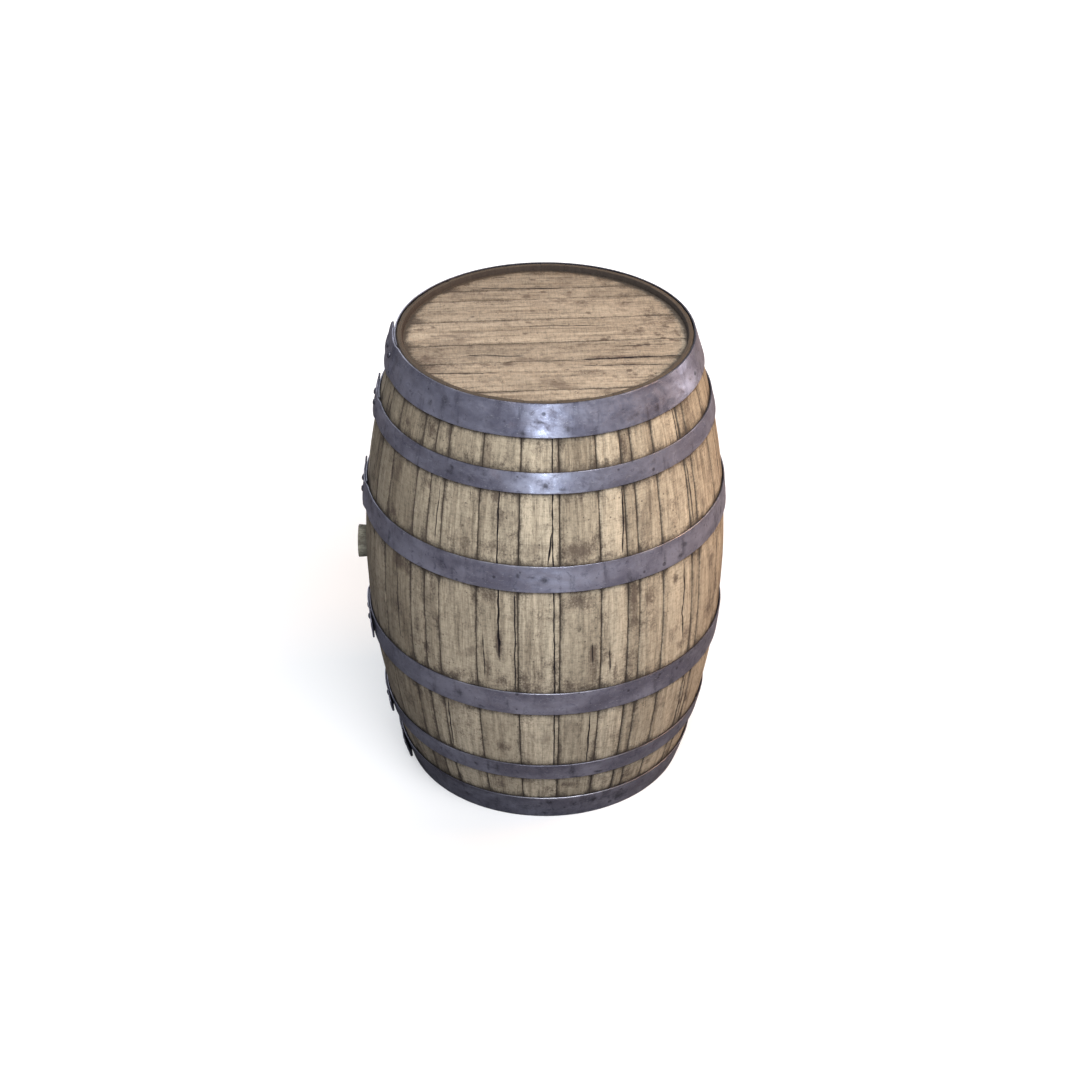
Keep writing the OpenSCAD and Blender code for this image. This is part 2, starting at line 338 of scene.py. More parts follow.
# Cloudy patches over a share of the surface, and small separate dots
def makeBlotches():
    inputs = [("Coord", "Vector", None)]
    inputs += [(label, "Float", value) for label, value in (("Scale", 12.0), ("Level", 0.6), ("Dots", 90.0))]
    group, given, put = newGroup("blotches", inputs, ["Patch", "Dot"])
    spread = addNode(group, "ShaderNodeVectorMath", {0: given["Coord"], 3: given["Scale"]}, operation="SCALE")
    cloud = addNoise(group, spread.outputs[0], (1, 0.8, 1), 6, 0.62, distortion=0.4)
    high = addMath(group, "ADD", given["Level"], 0.14)
    group.links.new(addStep(group, cloud, given["Level"], high), put["Patch"])
    cells = addNode(group, "ShaderNodeTexVoronoi", {"Vector": given["Coord"], "Scale": given["Dots"]})
    tint = addNode(group, "ShaderNodeSeparateColor", {0: cells.outputs["Color"]})
    size = addMath(group, "MULTIPLY", addMath(group, "SUBTRACT", tint.outputs[0], 0.62), 0.55)
    near = addMath(group, "SUBTRACT", size, cells.outputs["Distance"])
    group.links.new(addStep(group, near, -0.02, 0.06), put["Dot"])
    return group


oakGrain = makeOakGrain()
grime = makeRaggedMask()
blotches = makeBlotches()


def newMaterial(name):
    material = bpy.data.materials.new(name)
    material.use_nodes = True
    tree = material.node_tree
    return material, tree, tree.nodes["Principled BSDF"]


def readMark(tree, label):
    return addNode(tree, "ShaderNodeAttribute", attribute_name=label).outputs["Fac"]


# Old oak. The pieces give it values for tone, for dirt and painted shade, for splits and painted shade, and
# for stains.
def makeOak(name, look):
    material, tree, skin = newMaterial(name)
    coord = addNode(tree, "ShaderNodeUVMap", uv_map="grainMap").outputs[0]
    grain = placeGroup(tree, oakGrain, {"Coord": coord})
    tone = readMark(tree, "tone")
    light = addMix(tree, addStep(tree, tone, -1, 1), look["dull"], look["light"])
    brown = addMath(tree, "MULTIPLY", grain["Streak"], grain["Figure"])
    colour = paint(tree, light, brown, look["figure"], look["dark"])
    shade = addMath(tree, "MULTIPLY_ADD", grain["Streak"], -look["streak"], 1.1)
    for part in ("fibre", "saw", "pores", "mottle"):
        shade = addMath(tree, "MULTIPLY_ADD", grain[part.capitalize()], -look[part], shade)
    colour = addNode(tree, "ShaderNodeVectorMath", {0: colour, 3: shade}, operation="SCALE").outputs[0]
    patches = placeGroup(
        tree, blotches, {"Coord": coord, "Scale": 13.0, "Level": look["patchLevel"], "Dots": 95.0})
    stained = placeGroup(tree, grime, {"Coord": coord, "Soil": readMark(tree, "stain"), "Spread": 1.25})
    soiledAndShaded = placeGroup(
        tree, grime, {"Coord": coord, "Soil": readMark(tree, "soil"), "Spread": look["spread"]})
    colour = paint(tree, colour, patches["Patch"], look["patch"], look["stain"])
    colour = paint(tree, colour, patches["Dot"], look["dots"], look["dirt"])
    colour = paint(tree, colour, stained["Mask"], look["stained"], look["stain"])
    # dirt, and painted shade where the pieces darken recesses and the band beside the hoops
    colour = paint(tree, colour, soiledAndShaded["Mask"], look["soil"], look["dirt"])
    # the near-black split colour also paints shade on the chime wall
    colour = addMix(tree, addStep(tree, readMark(tree, "split"), 0.1, 0.9), colour, look["split"])
    tree.links.new(colour, skin.inputs["Base Color"])
    rough = addMath(tree, "MULTIPLY_ADD", grain["Streak"], 0.12, 0.66)
    rough = addMath(tree, "MULTIPLY_ADD", soiledAndShaded["Mask"], 0.15, rough)
    tree.links.new(rough, skin.inputs["Roughness"])
    skin.inputs["Specular IOR Level"].default_value = look["gloss"]
    up = addMath(tree, "MULTIPLY", patches["Dot"], -0.8)
    for part, sunk in (("Fibre", 0.35), ("Streak", 0.5), ("Saw", 0.3), ("Pores", 0.8)):
        up = addMath(tree, "MULTIPLY_ADD", grain[part], -sunk, up)
    bump = addNode(tree, "ShaderNodeBump", {"Height": up, "Distance": 0.0006, "Strength": 0.8})
    tree.links.new(bump.outputs[0], skin.inputs["Normal"])
    return material


staveLook = {
    "light": (0.66, 0.565, 0.425, 1), "dull": (0.375, 0.315, 0.23, 1), "dark": (0.185, 0.135, 0.090, 1),
    "dirt": (0.044, 0.033, 0.026, 1), "stain": (0.088, 0.063, 0.048, 1), "split": (0.012, 0.008, 0.010, 1),
    "figure": 0.65, "streak": 0.28, "fibre": 0.18, "saw": 0.20, "pores": 0.20, "mottle": 0.36, "patch": 0.50,
    "patchLevel": 0.55, "dots": 0.75, "stained": 0.85, "soil": 0.90, "spread": 0.85, "gloss": 0.40,
}
headLook = dict(
    staveLook, light=(0.51, 0.435, 0.34, 1), dull=(0.285, 0.238, 0.182, 1), figure=0.65, saw=0.24, patch=0.55)
bungLook = dict(
    staveLook, light=(0.50, 0.49, 0.40, 1), dull=(0.42, 0.41, 0.33, 1), dark=(0.19, 0.17, 0.13, 1), dots=0.3,
    soil=0.6)
staveOak = makeOak("staveOak", staveLook)
headOak = makeOak("headOak", headLook)
bungOak = makeOak("bungOak", bungLook)


dowelLook = {
    "light": (0.55, 0.4, 0.22, 1), "dark": (0.3, 0.19, 0.09, 1), "line": (0.25, 0.16, 0.08, 1),
    "streak": 0.7, "fibre": 0.4,
}


# New oak for the dowels, with the grain along Y on their own coordinates
def makeDowelOak():
    material, tree, skin = newMaterial("dowelOak")
    coord = addNode(tree, "ShaderNodeTexCoord").outputs["Object"]
    grain = placeGroup(tree, oakGrain, {"Coord": coord})
    colour = paint(tree, dowelLook["light"], grain["Streak"], dowelLook["streak"], dowelLook["dark"])
    colour = paint(tree, colour, grain["Fibre"], dowelLook["fibre"], dowelLook["line"])
    tree.links.new(colour, skin.inputs["Base Color"])
    tree.links.new(addMath(tree, "MULTIPLY_ADD", grain["Fibre"], 0.15, 0.6), skin.inputs["Roughness"])
    return material


# Weathered hoop steel. X runs along the strip and Y across it.
def makeSteel(name, look):
    material, tree, skin = newMaterial(name)
    coord = addNode(tree, "ShaderNodeUVMap", uv_map="grainMap").outputs[0]
    broad = addNoise(tree, coord, (9, 14, 1), 5, 0.6)
    drips = addNoise(tree, coord, (42, 10, 1), 5, 0.62, (2, 3, 0))
    cloud = addNoise(tree, coord, (55, 60, 1), 5, 0.7, (4, 1, 0), 0.5)
    grit = addNoise(tree, coord, (520, 520, 1), 3, 0.6, (1, 1, 3))
    scratch = addNoise(tree, coord, (95, 330, 1), 4, 0.6, (8, 2, 0), 1.6)
    patches = placeGroup(tree, blotches, {"Coord": coord, "Scale": 16.0, "Level": 0.6, "Dots": 42.0})
    stained = placeGroup(tree, grime, {"Coord": coord, "Soil": readMark(tree, "stain"), "Spread": 0.6})
    soiledAndShaded = placeGroup(tree, grime, {"Coord": coord, "Soil": readMark(tree, "soil"), "Spread": 0.5})
    colour = addMix(tree, addStep(tree, broad, 0.35, 0.68), look["mid"], look["light"])
    colour = paint(tree, colour, addStep(tree, drips, 0.52, 0.74), look["drips"], look["dark"])
    colour = paint(tree, colour, addStep(tree, cloud, 0.53, 0.72), look["cloud"], look["dark"])
    colour = paint(tree, colour, addStep(tree, grit, 0.58, 0.75), look["grit"], look["pale"])
    colour = paint(tree, colour, addStep(tree, scratch, 0.60, 0.70), look["scratch"], look["pale"])
    colour = paint(tree, colour, patches["Patch"], look["patch"], look["rust"])
    colour = paint(tree, colour, patches["Dot"], look["dots"], look["spot"])
    colour = paint(tree, colour, stained["Mask"], look["stained"], look["spot"])
    # dirt, with painted shade along the top edge of each hoop where it meets the wood
    colour = paint(tree, colour, soiledAndShaded["Mask"], look["soil"], look["spot"])
    worn = addMath(tree, "MULTIPLY", readMark(tree, "edge"), addStep(tree, cloud, 0.35, 0.7))
    colour = addMix(tree, worn, colour, look["pale"])
    tree.links.new(colour, skin.inputs["Base Color"])
    metal = addMath(tree, "MULTIPLY_ADD", patches["Patch"], -0.3, look["metal"], clamp=True)
    tree.links.new(metal, skin.inputs["Metallic"])
    rough = addMath(tree, "MULTIPLY_ADD", addStep(tree, cloud, 0.3, 0.75), 0.24, look["rough"])
    rough = addMath(tree, "MULTIPLY_ADD", addStep(tree, grit, 0.5, 0.7), -0.08, rough)
    rough = addMath(tree, "MULTIPLY_ADD", stained["Mask"], 0.2, rough)
    rough = addMath(tree, "MULTIPLY_ADD", worn, -0.12, rough)
    tree.links.new(rough, skin.inputs["Roughness"])
    up = addMath(tree, "MULTIPLY_ADD", cloud, 0.5, addMath(tree, "MULTIPLY", grit, 0.22))
    up = addMath(tree, "MULTIPLY_ADD", patches["Dot"], -0.4, up)
    bump = addNode(tree, "ShaderNodeBump", {"Height": up, "Distance": 0.0007, "Strength": 0.55})
    tree.links.new(bump.outputs[0], skin.inputs["Normal"])
    return material


steelLook = {
    "light": (0.40, 0.405, 0.51, 1), "mid": (0.20, 0.198, 0.265, 1), "dark": (0.070, 0.068, 0.100, 1),
    "pale": (0.60, 0.62, 0.69, 1), "rust": (0.125, 0.092, 0.115, 1), "spot": (0.030, 0.030, 0.040, 1),
    "metal": 0.85, "rough": 0.31, "drips": 0.62, "cloud": 0.6, "grit": 0.35, "scratch": 0.6,
    "patch": 0.45, "dots": 0.6, "stained": 0.8, "soil": 0.6,
}
hoopSteel = makeSteel("hoopSteel", steelLook)
rivetSteel = makeSteel("rivetSteel", dict(
    steelLook, light=(0.13, 0.13, 0.165, 1), mid=(0.09, 0.09, 0.115, 1), pale=(0.26, 0.27, 0.31, 1)))
dowelOak = makeDowelOak()
print("materials made")

# Angles are counter-clockwise from +X seen from above. A lap's angle is where its middle is.
hoopShape = {
    "thick": 0.0035, "gap": 0.0003, "rivetSpace": 0.040, "lapEdge": 0.016,
    "tail": 0.032, "tailFlare": 6, "tailInset": 0.003, "tailCorner": 0.007,
    "acrossStep": 0.0045, "alongStep": 0.0065, "corner": 0.0011, "wave": 0.0004, "dent": 0.00028,
    "pit": 0.0002, "edgeIn": 0.0002, "climb": (0.022, 0.002), "climbSlack": 1.03, "edgeWear": 0.7,
    "tailRows": [0.97, 0.93, 0.8, 0.6, 0.4, 0.23, 0.15, 0.08, 0.03, 0],
    "names": ["head_hoop", "quarter_hoop", "bilge_hoop"], "foul": [0, 0, 0, 0.42, 0.1, 0.05],
    "laps": {"top": [5.5, 1, 2], "bottom": [6.5, 7, 6]},
}
bungAngle = 180
hoopBands = [
    (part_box(end + "_" + name)[0].z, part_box(end + "_" + name)[1].z)
    for end in ("top", "bottom") for name in hoopShape["names"]]


# Distance from a height to the nearest hoop edge, negative under a hoop
def hoopDistance(z):
    away = [np.maximum(low - z, z - high) for low, high in hoopBands]
    return np.min(away, axis=0)


# Splits are lists of (height, degrees round from the front towards +X) with a width and a depth;
# stains are (degrees, height, reach round, reach up, strength)
staveShape = {
    "thick": 0.025, "chime": 0.012,
    "endRows": [0.0260, 0.0213, 0.0160, 0.0117, 0.0100, 0.0060, 0.0030, 0.0015, 0.0005, 0.0],
    "endInset": [0, 0, 0, 0, 0, 0, 0, 0.0001, 0.0006, 0.0017],
    "mouthRows": [0.0260, 0.0213, 0.0213, 0.0117, 0.0117, 0.0100, 0.0055, 0.0020, 0.0005, 0.0],
    "mouthInset": [0, 0, 0.005, 0.005, 0, 0, 0.0011, 0.0022, 0.0028, 0.0040],
    "rounding": 0.0024, "seam": 0.0005, "sunk": 0.0007, "crown": 0.0005, "uneven": 0.0013,
    "acrossStep": 0.0040, "alongStep": 0.0068, "endPart": 0.030, "boreBlock": 0.030, "boreReach": 0.044,
    "endFade": 0.012, "mouthFade": 0.009,
    "tones": {1: -0.5, 2: -0.4, 3: -0.7, 4: -0.3, 5: 0.0, 6: 0.2, 7: 0.15, 8: 0.65, 9: -0.05, 10: 0.7,
              11: -0.35, 12: 0.1, 13: 0.4, 14: -0.1, 15: 0.15},
}
# Dirt on the staves with painted shade in it: the band beside the hoops and the near-black chime wall
# (groove) are painted shade with grime
staveSoilAndShade = {
    "hoop": 0.72, "hoopReach": 0.010, "seam": 0.64, "seamReach": 0.0016, "haze": 0.36, "hazeReach": 0.009,
    "tip": (0.85, 1.30), "tipReach": 0.004, "split": 0.25, "bore": 0.9, "boreReach": 0.006,
    "groove": 1.4, "inside": 0.55,
}
staveSplits = [
    ([(0.80, -15.1), (0.65, -14.9), (0.59, -14.2), (0.50, -14.3), (0.42, -14.1)], 0.0026, 0.006),
    ([(0.50, -14.5), (0.465, -14.0), (0.435, -14.4)], 0.0034, 0.006),
    ([(0.92, 2.3), (0.70, 2.2), (0.59, 2.6), (0.36, 2.9), (0.12, 3.0)], 0.0016, 0.004),
    ([(0.715, 2.0), (0.64, 0.7)], 0.0024, 0.004),
    ([(0.80, 25.6), (0.70, 24.9), (0.64, 24.2)], 0.0022, 0.004),
    ([(0.60, -9.3), (0.34, -9.1)], 0.0013, 0.003),
    ([(0.31, 14.4), (0.15, 14.6)], 0.0018, 0.004),
    ([(0.475, 14.3), (0.415, 14.6)], 0.0011, 0.003),
    ([(0.465, 20.0), (0.385, 20.4)], 0.0009, 0.003),
    ([(0.60, 48.0), (0.52, 48.3), (0.47, 47.4), (0.44, 48.2), (0.39, 48.6)], 0.0020, 0.004),
    ([(0.50, -19.3), (0.37, -18.8)], 0.0007, 0.002),
    ([(0.79, -36.0), (0.64, -36.6)], 0.0008, 0.002),
    ([(0.59, -53.0), (0.38, -52.4)], 0.0009, 0.003),
    ([(0.31, -33.0), (0.155, -33.6)], 0.0016, 0.003),
    ([(0.90, 50.5), (0.80, 51.2)], 0.0016, 0.003),
    ([(0.79, 53.2), (0.64, 54.0)], 0.0018, 0.003),
    ([(0.31, 53.5), (0.15, 54.3)], 0.0016, 0.003),
]
staveStains = [
    (10.5, 0.672, 6.0, 0.020, 0.75), (9.5, 0.568, 5.5, 0.022, 0.6), (-51, 0.570, 3.5, 0.016, 0.8),
    (-15, 0.675, 6.5, 0.022, 0.4), (65, 0.530, 4.0, 0.018, 0.55), (-14.2, 0.465, 0.9, 0.030, 1.0),
    (14.5, 0.445, 1.2, 0.028, 0.8), (20.2, 0.420, 1.0, 0.030, 0.6), (-5.5, 0.375, 2.5, 0.020, 0.65),
    (-27, 0.705, 0.9, 0.006, 0.9), (-47, 0.560, 2.0, 0.018, 0.7), (-14, 0.205, 3.0, 0.014, 0.6),
    (-52, 0.235, 4.0, 0.030, 0.4), (-42, 0.270, 3.0, 0.016, 0.5), (-13.5, 0.845, 2.0, 0.010, 0.4),
    (-55.5, 0.852, 2.0, 0.008, 0.7), (20, 0.100, 3.5, 0.012, 0.5), (42, 0.096, 2.5, 0.010, 0.6),
    (48, 0.390, 2.5, 0.012, 0.5), (61, 0.875, 3.0, 0.012, 0.5), (26, 0.370, 1.5, 0.015, 0.5),
    (-5, 0.385, 5.0, 0.034, 0.55), (-13, 0.374, 4.5, 0.022, 0.5), (-18, 0.400, 1.0, 0.055, 0.5),
    (9, 0.374, 6.0, 0.022, 0.5), (15, 0.410, 1.6, 0.055, 0.6), (2.8, 0.400, 1.2, 0.080, 0.5),
    (-40, 0.400, 1.6, 0.026, 0.6), (-30, 0.372, 9.0, 0.016, 0.45), (22, 0.400, 1.2, 0.040, 0.55),
    (28, 0.545, 1.4, 0.060, 0.75), (27.5, 0.400, 1.2, 0.050, 0.5), (-18, 0.580, 5.0, 0.018, 0.45),
    (44, 0.555, 1.0, 0.010, 0.8), (70, 0.460, 2.0, 0.050, 0.5), (-57, 0.665, 3.0, 0.020, 0.55),
    (-27, 0.672, 3.5, 0.014, 0.55), (-16, 0.775, 2.0, 0.014, 0.7), (20, 0.655, 3.0, 0.010, 0.5),
    (33, 0.660, 3.0, 0.014, 0.45), (61, 0.750, 2.0, 0.016, 0.4), (-45, 0.280, 2.0, 0.016, 0.5),
    (58, 0.215, 2.5, 0.022, 0.5), (52, 0.255, 1.2, 0.030, 0.5), (8, 0.098, 4.0, 0.012, 0.55),
    (-34, 0.078, 2.0, 0.012, 0.55), (-56, 0.250, 3.0, 0.040, 0.4), (-62, 0.450, 2.0, 0.080, 0.35),
    (-3.5, 0.858, 4.5, 0.030, 0.33), (28, 0.855, 1.6, 0.030, 0.45), (-15, 0.725, 5.5, 0.065, 0.30),
    (-28, 0.250, 5.5, 0.050, 0.30), (46, 0.700, 3.0, 0.030, 0.25), (34, 0.480, 3.0, 0.060, 0.25),
    (-44, 0.480, 2.5, 0.080, 0.30), (-53, 0.480, 4.0, 0.060, 0.30), (64, 0.420, 4.0, 0.040, 0.35),
]


# Degrees round from the front towards +X, for an angle from +X
def fromFront(angle):
    return (angle + 90 + 180) % 360 - 180


# Middle angle and width of a stave at the bilge, in degrees and metres, from its node
def staveSpan(name):
    points = nodePoints(name)
    middle = math.atan2(points[:, 1].sum(), points[:, 0].sum())
    turned = points[:, 0] + 1j * points[:, 1]
    turn = np.angle(turned * np.exp(-1j * middle))
    return math.degrees(middle + (turn.max() + turn.min()) / 2), (turn.max() - turn.min()) * bilgeRadius


# How far a stave's two ends are cut short, fading out over a length
def endShift(up, fade, shift):
    top = easeStep(up, height - fade, height) * shift[0]
    return top - easeStep(height - up, height - fade, height) * shift[1]


# A stave. Across it runs an arc of the barrel's round, along it the staves' arc: the outer radius at a
# height is the arc's radius there, less the rounding of its edges, its crown, its splits and a soft
# unevenness. The inner side keeps the wall's thickness, with the croze and mouth at both ends.
def makeStave(name, node, number, bore=None):
    shape = staveShape
    draw = np.random.default_rng(700 + number)
    middle, width = staveSpan(node)
    front = fromFront(middle)
    perDegree = math.radians(1) * bilgeRadius
    hole = shape["boreBlock"]
    part = shape["endPart"]
    sides = int((height / 2 - part - hole) / shape["alongStep"])
    mid = np.concatenate([
        np.linspace(part, height / 2 - hole, sides),
        np.linspace(height / 2 - hole, height / 2 + hole, 11)[1:-1],
        np.linspace(height / 2 + hole, height - part, sides)])
    ends = np.array(shape["endRows"])
    mouth = np.array(shape["mouthRows"])
    outerZ = np.concatenate([ends[::-1], mid, height - ends])
    innerZ = np.concatenate([mouth[::-1], mid, height - mouth])
    none = np.zeros(len(mid))
    outerInset = np.concatenate([shape["endInset"][::-1], none, shape["endInset"]])
    innerStep = np.concatenate([shape["mouthInset"][::-1], none, shape["mouthInset"]])
    mouthRadius = barrelShape["endRadius"] - shape["chime"]
    innerRadius = np.maximum(staveRadius(innerZ) - shape["thick"], mouthRadius) + innerStep

    low, high = (-width + shape["seam"]) / 2, (width - shape["seam"]) / 2
    splits = []
    for k, (path, wide, deep) in enumerate(staveSplits):
        spot = (sum(p[1] for p in path) / len(path) - front) * perDegree
        if low < spot < high:
            local = [(z, (degrees - front) * perDegree) for z, degrees in path]
            splits.append(splitAlong(outerZ, local, wide, deep, 40 + k))
    if bore is None:
        hidden = abs(front) > 72
        for k in range(1 + int(width > 0.07) + int(hidden)):
            start = draw.uniform(0.03, 0.75)
            end = start + draw.uniform(0.06, 0.2)
            across = draw.uniform(low + 0.006, high - 0.006)
            path = [(start, across), (end, across + draw.uniform(-0.003, 0.003))]
            wide = draw.uniform(0.0006, 0.0020) if hidden else 0.0004
            splits.append(splitAlong(outerZ, path, wide, 1.3 * wide, 900 + 7 * number + k))
        across = trackedColumns(low, high, splits, shape["rounding"], shape["acrossStep"], outerZ)
    else:
        knots = [low, low + 0.0004, low + 0.0012, low + 0.0024, low + 0.0036]
        inner = np.linspace(-hole, hole, 13)
        row = np.concatenate([knots, np.linspace(-shape["boreReach"], -hole, 4)[:-1], inner])
        row = np.concatenate([row, -row[:8][::-1]])
        across = np.tile(row, (len(outerZ), 1))
    up = np.tile(outerZ[:, None], (1, across.shape[1]))
    upIn = np.tile(innerZ[:, None], (1, across.shape[1]))
    acrossIn = across.copy()
    if bore is not None:
        across, up = boreWarp(across, up, hole, bore[0])
        acrossIn, upIn = boreWarp(acrossIn, upIn, hole, bore[1])

    narrow = staveRadius(up) / bilgeRadius
    edge = np.minimum(across - low, high - across) * narrow
    cut, dark = splitRelief(across, splits)
    crown = shape["crown"] * (2 * across / width) ** 2 * draw.uniform(-0.2, 1)
    uneven = 0.0003 * (1 + softNoise(across * 4, up, 0.16, 300 + number))
    ripple = 0.00012 * (1 + softNoise(across * 14, up, 0.05, 500 + number))
    drop = edgeDrop(edge, shape["rounding"]) + cut + np.maximum(crown, 0) + uneven + ripple
    radius = staveRadius(up) - outerInset[:, None] - drop - shape["sunk"] * draw.uniform(0, 1)
    shift = shape["uneven"] * draw.uniform(0, 1, 2)
    near = endShift(up, shape["endFade"], shift)
    nearIn = endShift(upIn, shape["mouthFade"], shift)
    radiusIn = np.tile(innerRadius[:, None], (1, across.shape[1]))
    hewn = 0.0004 * softNoise(acrossIn * 5, upIn, 0.1, 600 + number)
    radiusIn = radiusIn + hewn * (innerStep[:, None] == 0)

    turn = math.radians(middle) + np.concatenate([across, acrossIn[:, ::-1]], 1) / bilgeRadius
    far = np.concatenate([radius, radiusIn[:, ::-1]], 1)
    z = np.concatenate([up - near, (upIn - nearIn)[:, ::-1]], 1)
    points = np.stack([far * np.cos(turn), far * np.sin(turn), z], -1)

    away = hoopDistance(up)
    degrees = fromFront(middle) + across / perDegree
    dirt = staveSoilAndShade
    # Painted shade with grime: a soft dark band on the wood beside every hoop
    hoopGrimeAndShade = dirt["hoop"] * fade(np.clip(away, 0, 1), dirt["hoopReach"])
    grubby = 1 + 0.5 * softNoise(up, 0, 0.13, 800 + number)
    seams = dirt["seam"] * fade(edge, dirt["seamReach"])
    seams = seams + dirt["haze"] * grubby * fade(edge, dirt["hazeReach"])
    # The stave ends are darker over their last few millimetres, by an amount drawn for each stave
    rimDark = draw.uniform(*dirt["tip"])
    tips = rimDark * fade(np.minimum(up, height - up), dirt["tipReach"])
    soil = hoopGrimeAndShade + seams + tips + dirt["split"] * dark
    stain = 1.35 * spotMarks(degrees, up, staveStains)
    extra = draw.uniform((low, 0.08, 0.006, 0.008, 0.2), (high, 0.9, 0.022, 0.05, 0.75), (5, 5))
    stain = np.maximum(stain, spotMarks(across, up, extra))
    if bore is not None:
        fromBore = np.hypot(across, up - height / 2) - bore[0]
        soil = soil + dirt["bore"] * fade(fromBore, dirt["boreReach"])
    # Painted shade with dirt: the inner side is darker in tone and dirt, and the chime wall above the head, a
    # recess, is painted near black with the groove value and the split colour. The land takes the end
    # darkness and a little more.
    fromEnd = np.minimum(innerZ, height - innerZ)[:, None]
    inside = np.where(fromEnd < 0.0121, dirt["groove"], dirt["inside"])
    inside = np.where(fromEnd < 0.0008, rimDark + 0.2, inside)
    tone = shape["tones"].get(number, draw.uniform(-0.6, 0.6)) + 0.25 * softNoise(across * 2, up, 0.5, number)
    tone = tone - 0.40 * easeStep(up, 0.58, 0.90)  # painted shade: the upper end is darker, to hold back the key light falling on it
    marks = {
        "tone": bothSides(tone, tone[:, ::-1] - 0.8 * (fromEnd > 0.0008)),
        "soil": bothSides(soil, inside),
        "split": bothSides(dark, 0.5 * (np.abs(fromEnd - 0.006) < 0.0057)),
        "stain": bothSides(stain, 0.35 * (fromEnd > 0.0008))}
    rows, columns = z.shape
    faces, apart = loopFaces(rows, columns)
    uv = unrolledMap(across, acrossIn, z, high, shape["thick"], draw.uniform(0, 9, 2), apart)
    if bore is not None:
        faces, uv = openBore(faces, uv, across.shape[1], outerZ, row, hole, columns)
    piece = addPiece(name, points.reshape(-1, 3), faces, uv, marks, staveOak)
    place(piece, "barrel", "stave_oak", node)


# Bends the grid round a bore: squares round its middle become circles, from the bore's own circle at
# the hole's block out to squares again
def boreWarp(across, up, hole, radius):
    reach = staveShape["boreReach"]
    above = up - height / 2
    block = np.maximum(np.abs(across), np.abs(above))
    far = np.maximum(np.hypot(across, above), 1e-6)
    blend = easeStep(block, hole, reach)
    scale = np.where(block < reach, (1 - blend) * (radius + block - hole) / far + blend, 1)
    return across * scale, above * scale + height / 2


# Leaves out the faces inside the bore's block on both sides of the stave and joins the two rings of
# vertices round it with the bore's wall
def openBore(faces, uv, half, outerZ, row, hole, columns):
    rowAt = np.flatnonzero(np.abs(outerZ - height / 2) < hole + 1e-6)
    columnAt = np.flatnonzero(np.abs(row) < hole + 1e-6)
    bottom, top, left, right = rowAt[0], rowAt[-1], columnAt[0], columnAt[-1]
    grid = faces[:, [0, 2]]
    i, j = grid // columns, grid % columns
    j = np.where(j >= half, columns - 1 - j, j)
    insideRows = (i.min(1) >= bottom) & (i.max(1) <= top) & (i.min(1) < i.max(1))
    insideColumns = (j.min(1) >= left) & (j.max(1) <= right) & (j.min(1) < j.max(1))
    keep = ~(insideRows & insideColumns)
    ring = [(bottom, c) for c in range(left, right)] + [(r, right) for r in range(bottom, top)]
    ring += [(top, c) for c in range(right, left, -1)] + [(r, left) for r in range(top, bottom, -1)]
    ring = np.array(ring)
    outer = ring[:, 0] * columns + ring[:, 1]
    inner = ring[:, 0] * columns + columns - 1 - ring[:, 1]
    wall = np.stack([outer, np.roll(outer, -1), np.roll(inner, -1), inner], -1)
    arc = np.linspace(0, 0.2, len(ring) + 1)
    start, stop = arc[:-1], arc[1:]
    deep = np.full_like(start, staveShape["thick"])
    wallU = np.stack([start, stop, stop, start], 1)
    wallV = np.stack([0 * deep, 0 * deep, deep, deep], 1)
    wallUv = np.stack([wallU, wallV], -1)
    return np.concatenate([faces[keep], wall]), np.concatenate([uv[keep], wallUv])


bungShape = {"radius": 0.033, "length": 0.048, "out": 0.016, "taper": 0.003, "gap": 0.0004, "chamfer": 0.002}
outerBore = bungShape["radius"] - bungShape["taper"] * bungShape["out"] / bungShape["length"]
innerBore = outerBore - bungShape["taper"] * staveShape["thick"] / bungShape["length"]
makeStave("bungStave", "bung_stave", 0, (outerBore + bungShape["gap"], innerBore + bungShape["gap"]))
staveCount = sum(name.startswith("stave_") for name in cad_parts)
for number in range(1, staveCount + 1):
    makeStave("stave%02d" % number, "stave_%02d" % number, number)
print("staves made:", staveCount + 1)

# Spots and splits are in metres on the top head, x to the right and y away from the front
headShape = {
    "turn": 4, "recess": 0.010, "thick": 0.022, "lip": 0.2672, "bevel": 0.008, "drop": 0.002,
    "tongue": 0.009, "innerBevel": 0.024, "rounding": 0.0012, "seam": 0.0005,
    "acrossStep": 0.0034, "alongStep": 0.0036,
    "tones": [0.0, 0.25, -0.15, 0.35, 0.1, -0.2, -0.35], "gape": 0.0004, "gapeReach": 0.006,
}
# Dirt on the heads; the tight darkening along the rim is painted shade with dirt
headSoilAndShade = {
    "rim": 0.9, "rimReach": 0.006, "drift": 0.55, "driftReach": 0.030, "seam": 0.5, "seamReach": 0.0016,
    "haze": 0.22, "hazeReach": 0.008, "split": 0.3,
}
headSplits = [
    ([(-0.130, 0.193), (-0.04, 0.189), (0.040, 0.191)], 0.0014, 0.002),
    ([(-0.170, -0.090), (-0.12, -0.082), (-0.07, -0.088), (-0.02, -0.083)], 0.0018, 0.003),
    ([(0.060, -0.100), (0.15, -0.092), (0.22, -0.086), (0.285, -0.080)], 0.0030, 0.004),
    ([(-0.250, -0.150), (-0.15, -0.153), (-0.060, -0.150)], 0.0012, 0.002),
    ([(0.040, -0.124), (0.13, -0.121), (0.230, -0.118)], 0.0012, 0.002),
    ([(-0.06, 0.030), (0.05, 0.034), (0.12, 0.033)], 0.0010, 0.002),
    ([(0.10, -0.050), (0.26, -0.036)], 0.0012, 0.002),
]
headSpeckles = [
    (0.205, 0.02, 0.055, 0.085, 40), (-0.215, -0.10, 0.04, 0.05, 20), (0.15, -0.155, 0.08, 0.04, 18),
    (0.02, 0.0, 0.2, 0.2, 26)]
